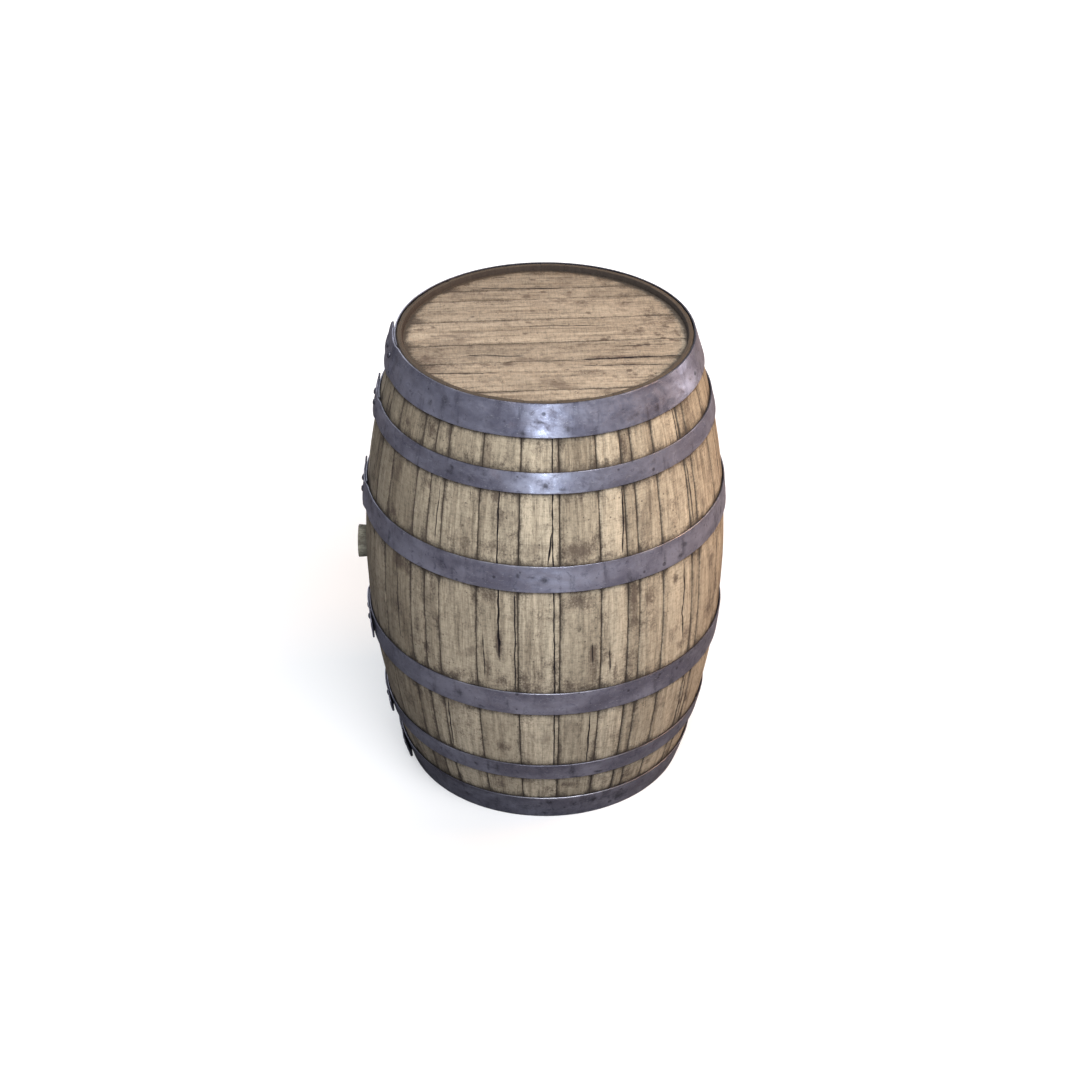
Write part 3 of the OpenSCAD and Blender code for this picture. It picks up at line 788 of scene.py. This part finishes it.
headSpots = [
    (-0.205, -0.105, 0.050, 0.030, 0.55), (-0.180, 0.190, 0.070, 0.030, 0.55),
    (0.010, -0.055, 0.070, 0.012, 0.30), (0.215, 0.060, 0.040, 0.060, 0.38),
    (-0.100, -0.060, 0.080, 0.014, 0.28), (0.060, -0.145, 0.070, 0.014, 0.32),
    (-0.027, 0.226, 0.006, 0.005, 1), (-0.033, 0.187, 0.006, 0.005, 1), (-0.038, 0.155, 0.011, 0.008, 1),
    (-0.003, 0.174, 0.006, 0.005, 1), (0.047, 0.172, 0.006, 0.005, 1), (-0.138, 0.070, 0.005, 0.005, 0.9),
    (0.005, 0.057, 0.006, 0.004, 1), (-0.033, 0.047, 0.006, 0.005, 0.9), (-0.212, 0.028, 0.005, 0.006, 0.9),
    (0.110, -0.022, 0.006, 0.006, 1), (0.250, -0.026, 0.008, 0.006, 1), (-0.068, -0.116, 0.012, 0.009, 1),
    (-0.080, -0.060, 0.006, 0.005, 0.9), (0.016, -0.184, 0.006, 0.005, 0.9),
    (0.028, -0.192, 0.006, 0.004, 0.8), (-0.078, -0.186, 0.006, 0.005, 0.8),
    (0.160, -0.165, 0.010, 0.006, 0.8), (-0.215, -0.095, 0.020, 0.010, 0.9),
    (-0.205, -0.125, 0.016, 0.012, 0.8), (0.200, 0.070, 0.012, 0.007, 0.7),
    (0.240, 0.060, 0.010, 0.022, 0.7), (0.180, 0.010, 0.012, 0.009, 0.8),
    (0.095, -0.142, 0.020, 0.010, 0.8), (0.155, -0.118, 0.022, 0.009, 0.6),
    (0.075, 0.130, 0.026, 0.010, 0.7), (0.140, 0.118, 0.022, 0.008, 0.6),
    (0.150, -0.088, 0.045, 0.007, 0.8), (-0.110, -0.120, 0.018, 0.008, 0.6),
    (-0.140, 0.178, 0.040, 0.005, 0.6), (0.120, -0.060, 0.04, 0.006, 0.5),
]


speckleDraw = np.random.default_rng(31)
for middleX, middleY, spreadX, spreadY, count in headSpeckles:
    drawn = speckleDraw.normal((0, 0, 0.0042, 0.85), (0.5, 0.5, 0.0012, 0.15), (count, 4))
    for stepX, stepY, reach, strength in drawn:
        reach = max(reach, 0.0025)
        centre = (middleX + spreadX * stepX, middleY + spreadY * stepY)
        headSpots.append((*centre, reach, reach * 0.85, strength))


# A head board. Along it x is a share of the head's chord at that place across, so that its ends follow
# the head's round; its top and bottom fall off with the distance from the head's middle.
def makeBoard(name, node, number, isTop):
    shape = headShape
    draw = np.random.default_rng(number + (50 if isTop else 90))
    points = nodePoints(node)
    if not isTop:
        points = turnedOver(points)
    turn = math.radians(shape["turn"])
    away = points[:, 1] * math.cos(turn) - points[:, 0] * math.sin(turn)
    headRadius = barrelShape["headRadius"]
    firm = headRadius - 0.0004
    low = max(-away.max(), -firm) + shape["seam"] / 2
    high = min(-away.min(), firm) - shape["seam"] / 2
    nearest = min(low ** 2, high ** 2, (low + high) ** 2 / 4)
    half = int(math.sqrt(headRadius ** 2 - nearest) / shape["alongStep"])
    rim = np.array([0.9935, 0.9975, 1.0])
    share = np.concatenate([-rim[::-1], np.linspace(-0.985, 0.985, 2 * half), rim])
    middle = (low + high) / 2
    along = share * math.sqrt(headRadius ** 2 - middle ** 2)
    splits = []
    if isTop:
        for k, (path, wide, deep) in enumerate(headSplits):
            local = [
                (x * math.cos(turn) + y * math.sin(turn), x * math.sin(turn) - y * math.cos(turn))
                for x, y in path]
            if low < sum(p[1] for p in local) / len(local) < high:
                splits.append(splitAlong(along, local, wide, deep, 80 + k))
    for k in range(3 if high - low > 0.07 else 2):
        start = draw.uniform(-0.24, 0.1)
        across = draw.uniform(low + 0.008, high - 0.008)
        path = [(start, across), (start + draw.uniform(0.06, 0.22), across + draw.uniform(-0.004, 0.004))]
        splits.append(splitAlong(along, path, 0.0005 if isTop else 0.0012, 0.0007, 60 * number + k))
    across = trackedColumns(low, high, splits, shape["rounding"], shape["acrossStep"], along)
    reach = np.sqrt(np.maximum(headRadius ** 2 - across ** 2, 0))
    x = share[:, None] * reach
    far = np.hypot(x, across)
    edge = np.minimum(across - low, high - across)
    cut, dark = splitRelief(across, splits)
    face = height - shape["recess"]
    bevel = shape["drop"] * np.clip((far - shape["lip"] + shape["bevel"]) / shape["bevel"], 0, 1)
    level = 0.0004 * draw.uniform(0, 1) * (far < shape["lip"] - shape["bevel"])
    worn = 0.00025 * (1 + softNoise(x, across * 5, 0.12, 20 + number))
    inner = far < shape["lip"] - 0.002
    zTop = face - bevel - edgeDrop(edge, shape["rounding"]) * inner - cut * inner - level - worn * inner
    under = shape["thick"] - shape["drop"] - shape["tongue"]
    slope = under * np.clip((far - shape["lip"] + shape["innerBevel"]) / shape["innerBevel"], 0, 1)
    zLow = face - shape["thick"] + slope
    gape = shape["gape"] * (1 + softNoise(x, 0, 0.13, 33 + number)) * inner
    reachIn = shape["gapeReach"]
    side = across + gape * fade(across - low, reachIn) - gape * fade(high - across, reachIn)
    acrossAll = np.concatenate([side, side[:, ::-1]], 1)
    xAll = np.concatenate([x, x[:, ::-1]], 1)
    zAll = np.concatenate([zTop, zLow[:, ::-1]], 1)
    rowX = xAll * math.cos(turn) + acrossAll * math.sin(turn)
    rowY = xAll * math.sin(turn) - acrossAll * math.cos(turn)
    points = np.stack([rowX, rowY, zAll], -1).reshape(-1, 3)
    if not isTop:
        points = turnedOver(points)

    fromRim = shape["lip"] - np.minimum(far, shape["lip"])
    faceX, faceY = rowX[:, :across.shape[1]], rowY[:, :across.shape[1]]
    drift = 0.65 + 0.5 * softNoise(faceX, faceY, 0.22, 12)
    dirt = headSoilAndShade
    # Painted shade with dirt: the head darkens tightly along the rim, in the corner under the chime wall; the
    # broad drift further in is dirt
    rimDark = dirt["rim"] * fade(fromRim, dirt["rimReach"])
    rimDark = rimDark + dirt["drift"] * drift * fade(fromRim, dirt["driftReach"])
    seams = dirt["seam"] * fade(edge, dirt["seamReach"]) + dirt["haze"] * fade(edge, dirt["hazeReach"])
    soil = rimDark + seams + dirt["split"] * dark
    stain = spotMarks(faceX, faceY, headSpots if isTop else headSpots[:3])
    extra = draw.uniform((-0.25, low, 0.004, 0.003, 0.3), (0.25, high, 0.02, 0.008, 0.8), (6, 5))
    stain = np.maximum(stain, spotMarks(x, across, extra))
    tone = shape["tones"][number - 1] + 0.3 * softNoise(x, across * 2, 0.35, 70 + number)
    marks = {
        "tone": bothSides(tone, -0.8), "soil": bothSides(soil, 0.5),
        "split": bothSides(dark, 0), "stain": bothSides(stain, 0.3)}
    rows, columns = zAll.shape
    faces, apart = loopFaces(rows, columns)
    uv = unrolledMap(across, across, xAll, high, shape["thick"], draw.uniform(0, 9, 2), apart)
    piece = addPiece(name, points, faces, uv, marks, headOak)
    place(piece, "barrel", "head_oak", node)


for end in ("top", "bottom"):
    boards = sorted(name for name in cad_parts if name.startswith(end + "_head_board_"))
    for number, node in enumerate(boards, 1):
        makeBoard("%sHeadBoard%d" % (end, number), node, number, end == "top")
    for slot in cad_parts[end + "_head_dowels"].material_slots:
        slot.material = dowelOak
print("heads made")

hoopSpots = [
    (-8, 0.897, 1.2, 0.007, 1), (8, 0.905, 1.0, 0.007, 0.9), (-45, 0.910, 1.2, 0.008, 0.8),
    (43, 0.905, 1.2, 0.008, 0.9), (34, 0.908, 1.5, 0.006, 0.8), (-25, 0.800, 0.9, 0.005, 0.9),
    (0, 0.803, 0.9, 0.006, 0.9), (0, 0.618, 1.3, 0.007, 0.9), (27, 0.595, 0.9, 0.006, 0.8),
    (73, 0.610, 1.4, 0.008, 0.9), (-38, 0.925, 1.5, 0.018, 0.5), (-28, 0.625, 2, 0.014, 0.4),
    (-12, 0.330, 1.0, 0.014, 0.6), (-28, 0.332, 1.2, 0.008, 0.7), (-25, 0.142, 0.9, 0.005, 0.9),
    (-33, 0.128, 0.8, 0.004, 0.9), (-32, 0.030, 1.2, 0.006, 0.8), (38, 0.812, 1.0, 0.008, 0.6),
    (8, 0.598, 0.8, 0.006, 0.7), (16, 0.800, 1.0, 0.005, 0.7), (56, 0.145, 1.2, 0.006, 0.8),
    (-39, 0.915, 1.6, 0.020, 0.6), (-32, 0.900, 0.8, 0.020, 0.5), (38, 0.905, 0.7, 0.020, 0.8),
    (8, 0.610, 0.7, 0.020, 0.7), (26, 0.605, 0.7, 0.020, 0.7), (39, 0.615, 0.6, 0.020, 0.6),
    (-57, 0.610, 0.7, 0.020, 0.6), (-20, 0.145, 0.7, 0.020, 0.7), (-17, 0.145, 0.6, 0.020, 0.7),
    (9.5, 0.145, 1.2, 0.020, 0.7), (34, 0.330, 0.5, 0.020, 0.5), (37, 0.330, 0.5, 0.020, 0.5),
    (12, 0.035, 2.5, 0.014, 0.7), (-8, 0.030, 3.0, 0.010, 0.5), (30, 0.030, 4.0, 0.020, 0.6),
    (-12, 0.900, 0.6, 0.014, 0.6), (3, 0.895, 0.5, 0.010, 0.6), (-21, 0.905, 0.7, 0.012, 0.5),
]


# A hoop: one strip carried round the barrel from its inner tip, which lies under its outer end. The
# strip climbs by its own thickness over the inner tip, and its last stretch stands off as a tail with
# clipped corners. Across it the section is flat and leans with the staves, with rounded corners.
def makeHoop(name, node, lap, isTop, number):
    shape = hoopShape
    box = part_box(node)
    z1, z2 = (box[1].z, box[0].z) if isTop else (height - box[0].z, height - box[1].z)
    zMid, width = (z1 + z2) / 2, z1 - z2
    lean = math.asin((zMid - height / 2) / arcRadius)
    stand = (width ** 2 / (8 * arcRadius) + shape["gap"]) / math.cos(lean)
    radius = (staveRadius(z1) + staveRadius(z2)) / 2 + stand
    overlap = shape["rivetSpace"] / 2 + shape["lapEdge"]
    girth = 2 * math.pi * radius
    length = girth + 2 * overlap + shape["tail"]
    count = int(length / shape["alongStep"])
    run = np.linspace(0, length - shape["tail"], count)
    tailRun = length - shape["tail"] * np.array(shape["tailRows"])
    run = np.concatenate([run, tailRun])
    past = np.clip(run - (length - shape["tail"]), 0, None)
    start, stop = shape["climb"]
    climb = shape["thick"] * easeStep(run, girth - start, girth - stop) * shape["climbSlack"]
    flare = past * math.tan(math.radians(shape["tailFlare"])) + past ** 2 / (2 * radius)
    halfWidth = width / math.cos(lean) / 2 - shape["tailInset"] * easeStep(past, 0, 0.0025)
    halfWidth = halfWidth - np.clip(past - shape["tail"] + shape["tailCorner"], 0, None) * 0.95
    corner = shape["corner"]
    inner = int((width - 4 * corner) / shape["acrossStep"])
    fixed = np.array([0, 0.15, 0.45, 1.0, 2.0]) * corner
    level = np.linspace(-1, 1, inner)
    body = (halfWidth - 2 * corner)[:, None] * level
    left = -halfWidth[:, None] + fixed[:-1]
    across = np.concatenate([left, body, -left[:, ::-1]], 1)
    edge = halfWidth[:, None] - np.abs(across)
    drop = edgeDrop(edge, corner)
    angle0 = bungAngle + lap + math.degrees(overlap / radius)
    angle = math.radians(angle0) - run / radius
    where = run[:, None]
    dents = shape["dent"] * softNoise(where, across * 2, 0.055, 11 * number)
    dents = dents + shape["pit"] * softNoise(where, across, 0.018, 13 * number)
    outer = shape["thick"] - drop + dents * np.clip(edge / 0.004, 0, 1)
    wander = shape["wave"] / 2 * softNoise(run, 0, 0.21, 17 * number)[:, None]
    tilt = across + (np.sign(across) * wander - shape["edgeIn"]) * np.abs(across) / halfWidth[:, None]
    off = (climb + flare)[:, None] + np.concatenate([outer, drop[:, ::-1]], 1)
    b = np.concatenate([tilt, tilt[:, ::-1]], 1)
    far = radius + off * math.cos(lean) - b * math.sin(lean)
    z = zMid + off * math.sin(lean) + b * math.cos(lean)
    z = np.clip(z, z2, z1)  # the edges are dressed level, so the barrel stands flat
    turn = angle[:, None]
    # columns run up the strip and rows run clockwise, so the outer face looks outwards
    points = np.stack([far * np.cos(turn), far * np.sin(turn), z], -1).reshape(-1, 3)
    if not isTop:
        points = turnedOver(points)
    degrees = fromFront(np.degrees(angle))[:, None] if isTop else fromFront(-np.degrees(angle))[:, None]
    realZ = z if isTop else height - z
    halfZ = realZ[:, :across.shape[1]]
    stain = spotMarks(degrees, halfZ, hoopSpots)
    draw = np.random.default_rng(130 + number)
    extra = draw.uniform((0, -width / 2, 0.004, 0.003, 0.4), (length, width / 2, 0.012, 0.007, 1.0), (26, 5))
    stain = np.maximum(stain, spotMarks(where, across, extra))
    rubbed = np.clip(0.1 + 0.8 * softNoise(where, 0, 0.35, 19 * number), 0, 1)
    edgeMark = shape["edgeWear"] * fade(edge, 0.0011) * rubbed
    topEdge = (across > 0) if isTop else (across < 0)
    # Dark line along the top edge where it isn't rubbed: dirt with painted shade where the wood meets the
    # hoop. Along the lower edge a softer darkening.
    low = np.where(topEdge, 0.9 * (1 - rubbed) * fade(edge, 0.0013), 0.35 * fade(edge, 0.004))
    lapSoil = 0.7 * fade(np.abs(run - girth), 0.006)[:, None]
    soil = low + shape["foul"][number] + lapSoil
    marks = {"edge": bothSides(edgeMark, 0), "stain": bothSides(stain, 0.8), "soil": bothSides(soil, 0.9)}
    rows, columns = z.shape
    faces, apart = loopFaces(rows, columns)
    vAcross = np.concatenate([across, 2 * halfWidth[:, None] - across[:, ::-1]], 1)
    vAcross = np.concatenate([vAcross, vAcross[:, -1:] + 0.004], 1) + draw.uniform(0, 9)
    uAlong = np.tile((run + draw.uniform(0, 9))[:, None], (1, columns + 1))
    uv = np.stack([uAlong.ravel()[apart], vAcross.ravel()[apart]], -1)
    piece = addPiece(name, points, faces, uv, marks, hoopSteel)
    place(piece, "barrel", "hoop_steel", node)
    middle = bungAngle + lap
    space = math.degrees(shape["rivetSpace"] / 2 / radius)
    return [(radius, zMid, lean, middle + side * space, isTop) for side in (-1, 1)]


rivetPlaces = []
for end in ("top", "bottom"):
    for k, hoopName in enumerate(hoopShape["names"]):
        lap = hoopShape["laps"][end][k] * (1 if end == "top" else -1)
        title = end + "".join(word.capitalize() for word in hoopName.split("_"))
        rivetPlaces += makeHoop(title, end + "_" + hoopName, lap, end == "top", k + 3 * (end == "bottom"))
print("hoops made")


# Faces of rings of count vertices that follow each other, with a single vertex closing each end: the
# first vertex, then the rings, then the last vertex
def spunFaces(rings, count):
    ring = np.arange(count)
    after = np.roll(ring, -1)
    last = rings * count + 1
    faces = [(0, 1 + b, 1 + a) for a, b in zip(ring, after)]
    for r in range(rings - 1):
        start = 1 + r * count
        faces += [(start + a, start + b, start + count + b, start + count + a) for a, b in zip(ring, after)]
    start = 1 + (rings - 1) * count
    faces += [(start + a, start + b, last) for a, b in zip(ring, after)]
    return faces


# Makes a piece of spun shells, with its UV given per vertex
def addSpun(name, points, faces, uv, marks, material):
    mesh = bpy.data.meshes.new(name)
    mesh.from_pydata(points.tolist(), [], faces)
    loops = np.empty(len(mesh.loops), dtype=np.int32)
    mesh.loops.foreach_get("vertex_index", loops)
    return finishPiece(name, mesh, uv[loops], marks, material, 0.7)


rivetShape = {"shank": 0.0035, "head": 0.0065, "dome": 0.004, "hammer": 0.0004, "sides": 28}


# Every rivet is a profile spun round its axis: a shank as long as two strips, and a domed head whose
# height falls off as a circle's does, dented by the hammer
def makeRivets():
    shape = rivetShape
    grip = 2 * hoopShape["thick"]
    bend = np.linspace(0, math.pi / 2, 8)[1:-1]
    radii = [0.0028, shape["shank"], shape["shank"], shape["head"] - 0.0006, shape["head"]]
    heights = [0.0002, 0.0008, grip - 0.0002, grip + 0.0001, grip + 0.0006]
    radii += list(shape["head"] * np.cos(bend))
    heights += list(grip + 0.0006 + (shape["dome"] - 0.0006) * np.sin(bend))
    around = np.arange(shape["sides"]) * 2 * math.pi / shape["sides"]
    faces = spunFaces(len(radii), shape["sides"])
    allPoints, allFaces, allUv, allEdge = [], [], [], []
    for k, (radius, zMid, lean, angle, isTop) in enumerate(rivetPlaces):
        r = np.repeat(radii, shape["sides"])
        x = np.repeat(heights, shape["sides"])
        spin = np.tile(around, len(radii))
        head = (x > grip).astype(float)
        r = r * (1 + 0.05 * head * softNoise(np.cos(spin), np.sin(spin), 1.7, 50 + k))
        y, z = r * np.cos(spin), r * np.sin(spin)
        x = x - head * shape["hammer"] * (1 + softNoise(y, z, 0.006, 90 + k)) * 0.7
        x = np.concatenate([[0.0], x, [grip + shape["dome"] - shape["hammer"]]])
        y = np.concatenate([[0.0], y, [0.0]])
        z = np.concatenate([[0.0], z, [0.0]])
        turn = math.radians(angle)
        out = radius + x * math.cos(lean) - z * math.sin(lean)
        up = zMid + x * math.sin(lean) + z * math.cos(lean)
        points = np.stack([
            out * math.cos(turn) - y * math.sin(turn), out * math.sin(turn) + y * math.cos(turn), up], -1)
        if not isTop:
            points = turnedOver(points)
        start = k * len(points)
        allPoints.append(points)
        allFaces += [tuple(start + v for v in face) for face in faces]
        allUv.append(np.stack([y + k, z + x], -1))
        allEdge.append(fade(np.abs(np.hypot(y, z) - shape["head"]), 0.001) * (x > grip))
    edge = np.concatenate(allEdge)
    marks = {"edge": 0.5 * edge, "stain": np.full_like(edge, 0.25), "soil": np.full_like(edge, 0.1)}
    points, uv = np.concatenate(allPoints), np.concatenate(allUv)
    piece = addSpun("hoopRivets", points, allFaces, uv, marks, rivetSteel)
    place(piece, "barrel", "rivet_steel", "hoop_rivets")


makeRivets()


# The bung is a cone spun round the X axis, with chamfered ends and a slightly uneven round
def makeBung():
    shape = bungShape
    big, small = shape["radius"], shape["radius"] - shape["taper"]
    tip = bilgeRadius + shape["out"]
    c = shape["chamfer"]
    flat = np.linspace(0, 1, 12)[1:]
    endR = (big - c) * flat
    sideR = np.linspace(big - 0.0001, small + 0.0001, 12)
    radii = list(endR) + [big - 0.45 * c, big - 0.12 * c] + list(sideR) + [small - 0.5 * c]
    radii += list((small - c) * flat[::-1])
    depth = [0.0] * len(endR) + [0.22 * c, 0.55 * c] + list(np.linspace(c, shape["length"] - c, 12))
    depth += [shape["length"] - 0.3 * c] + [shape["length"]] * len(flat)
    sides = 96
    around = np.arange(sides) * 2 * math.pi / sides
    r = np.repeat(radii, sides)
    d = np.repeat(depth, sides)
    spin = np.tile(around, len(radii))
    wobble = softNoise(np.cos(spin), np.sin(spin), 2.2, 5)
    r = r * (1 - 0.006 * (1 + wobble) * (d < shape["out"]))
    y, z = r * np.cos(spin), r * np.sin(spin)
    d = d + 0.0004 * (1 + softNoise(y, z, 0.03, 9)) * (d < 0.0001)  # the face is hollowed by wear
    x = -(tip - np.concatenate([[0.0003], d, [shape["length"]]]))
    y = np.concatenate([[0.0], y, [0.0]])
    z = np.concatenate([[0.0], z, [0.0]])
    points = np.stack([x, y, z + height / 2], -1)
    faces = spunFaces(len(radii), sides)
    far = np.hypot(y, z)
    depthAll = x + tip
    sideways = (far > big * 0.9) & (depthAll > 0.0008)
    uv = np.where(
        sideways[:, None], np.stack([np.arctan2(z, y) * big + 3, depthAll + 2], -1),
        np.stack([y + 5, z + 7], -1))
    soil = 0.25 + 0.5 * fade(np.abs(depthAll - shape["out"]), 0.004) + 0.3 * (far > big - 0.003)
    marks = {
        "tone": np.full_like(far, 0.2), "soil": soil, "split": np.zeros_like(far),
        "stain": 0.3 * spotMarks(y, z, [(0.008, 0.01, 0.01, 0.008, 1)])}
    piece = addSpun("oakBung", points, faces, uv, marks, bungOak)
    place(piece, "bung", "bung_oak", "bung")


makeBung()
print("rivets and bung made")

stageSet = {
    "floorHalf": 60, "target": (-0.0098, 0, 0.476), "distance": 4.53, "elevation": 33.2, "lens": 75.67,
    "level": (0.33, 0.345, 0.42, 1), "above": (0.21, 0.21, 0.21, 1), "floor": (0.50, 0.508, 0.53, 1),
    "glow": 0.54, "farGlow": 1.05, "glowFrom": 0.7, "glowTo": 3.0, "glowTint": (0.97, 0.985, 1, 1),
    "sag": 0.20, "sagAt": (-0.02, -0.44, 0), "paintedShadowReach": (0.62, 0.05),
    "bounceNear": (0.06, 0.06, 0.066, 1), "bounceFar": (0.25, 0.245, 0.265, 1),
    "bounceAt": (-0.3, 0.6, 0), "bounceReach": (0.3, 1.8),
}
stageLights = {
    "keyLight": {"location": (0.75, -2.8, 4.7), "size": (3.2, 2.6), "power": 335, "colour": (1, 0.98, 0.95)},
    "warmSide": {"location": (3.0, 0.3, 2.6), "size": (1.6, 1.4), "power": 95, "colour": (1, 0.56, 0.26)},
    "backFill": {"location": (-1.5, 3.2, 2.6), "size": (2.4, 1.8), "power": 30, "colour": (0.95, 0.97, 1)},
    "frontBox": {"location": (0.05, -3.6, 0.85), "size": (0.36, 1.10), "power": 22,
                 "colour": (0.82, 0.93, 1), "aim": (0, 0, 0.8)},
    "sideBox": {"location": (2.2, 0.70, 0.74), "size": (0.34, 0.50), "power": 3.6,
                "colour": (1, 0.92, 0.90), "aim": (0, 0, 0.9)},
}


# The floor glows where the camera sees it, so that it reads as white paper; the glow is lower close to the
# barrel so that shadows show, and lower again in front of the barrel as a painted shadow. For other rays it
# is dim, with a painted shadow darkest near the barrel behind it to the left.
def makeFloor():
    material, tree, skin = newMaterial("paleFloor")
    skin.inputs["Base Color"].default_value = stageSet["floor"]
    skin.inputs["Roughness"].default_value = 0.9
    skin.inputs["Specular IOR Level"].default_value = 0.0
    skin.inputs["Emission Color"].default_value = stageSet["glowTint"]
    coord = addNode(tree, "ShaderNodeTexCoord").outputs["Object"]
    away = addNode(tree, "ShaderNodeVectorMath", {0: coord}, operation="LENGTH").outputs["Value"]
    rising = {"Value": away, "From Min": stageSet["glowFrom"], "From Max": stageSet["glowTo"]}
    rising.update({"To Min": stageSet["glow"], "To Max": stageSet["farGlow"]})
    glow = addNode(tree, "ShaderNodeMapRange", rising, interpolation_type="SMOOTHSTEP").outputs[0]
    # painted shadow: the glow drops in front of the barrel
    base = addNode(tree, "ShaderNodeVectorMath", {0: coord, 1: stageSet["sagAt"]}, operation="DISTANCE")
    near = addStep(tree, base.outputs["Value"], *stageSet["paintedShadowReach"])
    sag = addMath(tree, "MULTIPLY", near, stageSet["sag"])
    tree.links.new(addMath(tree, "SUBTRACT", glow, sag), skin.inputs["Emission Strength"])
    # Painted shadow in what the barrel sees of the floor: the bounce colour is dark near the barrel, behind
    # it to the left, and lighter far away
    behind = addNode(tree, "ShaderNodeVectorMath", {0: coord, 1: stageSet["bounceAt"]}, operation="DISTANCE")
    lit = addStep(tree, behind.outputs["Value"], *stageSet["bounceReach"])
    bounce = addMix(tree, lit, stageSet["bounceNear"], stageSet["bounceFar"])
    dim = addNode(tree, "ShaderNodeBsdfDiffuse", {"Color": bounce})
    seen = addNode(tree, "ShaderNodeLightPath").outputs["Is Camera Ray"]
    mixed = addNode(tree, "ShaderNodeMixShader", {0: seen, 1: dim.outputs[0], 2: skin.outputs[0]})
    tree.links.new(mixed.outputs[0], tree.nodes["Material Output"].inputs["Surface"])
    half = stageSet["floorHalf"]
    mesh = bpy.data.meshes.new("floor")
    corners = [(-half, -half, 0), (half, -half, 0), (half, half, 0), (-half, half, 0)]
    mesh.from_pydata(corners, [], [(0, 1, 2, 3)])
    mesh.materials.append(material)
    floor = bpy.data.objects.new("floor", mesh)
    floor.location.z = -0.0005
    bpy.context.collection.objects.link(floor)


# A room that the camera sees as white and that lights the barrel dimly, a little brighter and bluer
# at the level of the eye than overhead
def makeRoom():
    world = bpy.data.worlds.new("paleRoom")
    bpy.context.scene.world = world
    world.use_nodes = True
    tree = world.node_tree
    coord = addNode(tree, "ShaderNodeTexCoord").outputs["Generated"]
    upward = addNode(tree, "ShaderNodeSeparateXYZ", {0: coord}).outputs["Z"]
    tint = addMix(tree, addStep(tree, upward, 0.05, 0.6), stageSet["level"], stageSet["above"])
    tree.links.new(tint, tree.nodes["Background"].inputs["Color"])
    white = addNode(tree, "ShaderNodeBackground", {"Color": (1, 1, 1, 1), "Strength": 1.05})
    seen = addNode(tree, "ShaderNodeLightPath").outputs["Is Camera Ray"]
    inputs = {0: seen, 1: tree.nodes["Background"].outputs[0], 2: white.outputs[0]}
    mixed = addNode(tree, "ShaderNodeMixShader", inputs)
    tree.links.new(mixed.outputs[0], tree.nodes["World Output"].inputs["Surface"])


# A soft light at a place, turned towards the barrel
def addSoftLight(name, location, size, power, colour, aim=(0, 0, 0.5)):
    light = bpy.data.lights.new(name, "AREA")
    light.shape = "RECTANGLE"
    light.size, light.size_y = size
    light.energy = power
    light.color = colour
    holder = bpy.data.objects.new(name, light)
    holder.location = location
    holder.rotation_euler = (Vector(aim) - Vector(location)).to_track_quat("-Z", "Y").to_euler()
    holder.visible_camera = False
    bpy.context.collection.objects.link(holder)


def makeStage():
    makeFloor()
    makeRoom()
    for name, light in stageLights.items():
        addSoftLight(name, **light)
    target = Vector(stageSet["target"])
    elevation = math.radians(stageSet["elevation"])
    camera = bpy.data.cameras.new("camera")
    camera.lens = stageSet["lens"]
    camera.sensor_width = 36
    holder = bpy.data.objects.new("camera", camera)
    away = Vector((0, -math.cos(elevation), math.sin(elevation))) * stageSet["distance"]
    holder.location = target + away
    holder.rotation_euler = (math.pi / 2 - elevation, 0, 0)
    bpy.context.collection.objects.link(holder)
    bpy.context.scene.camera = holder
    bpy.context.scene.view_settings.view_transform = "Standard"


makeStage()
print("stage set")
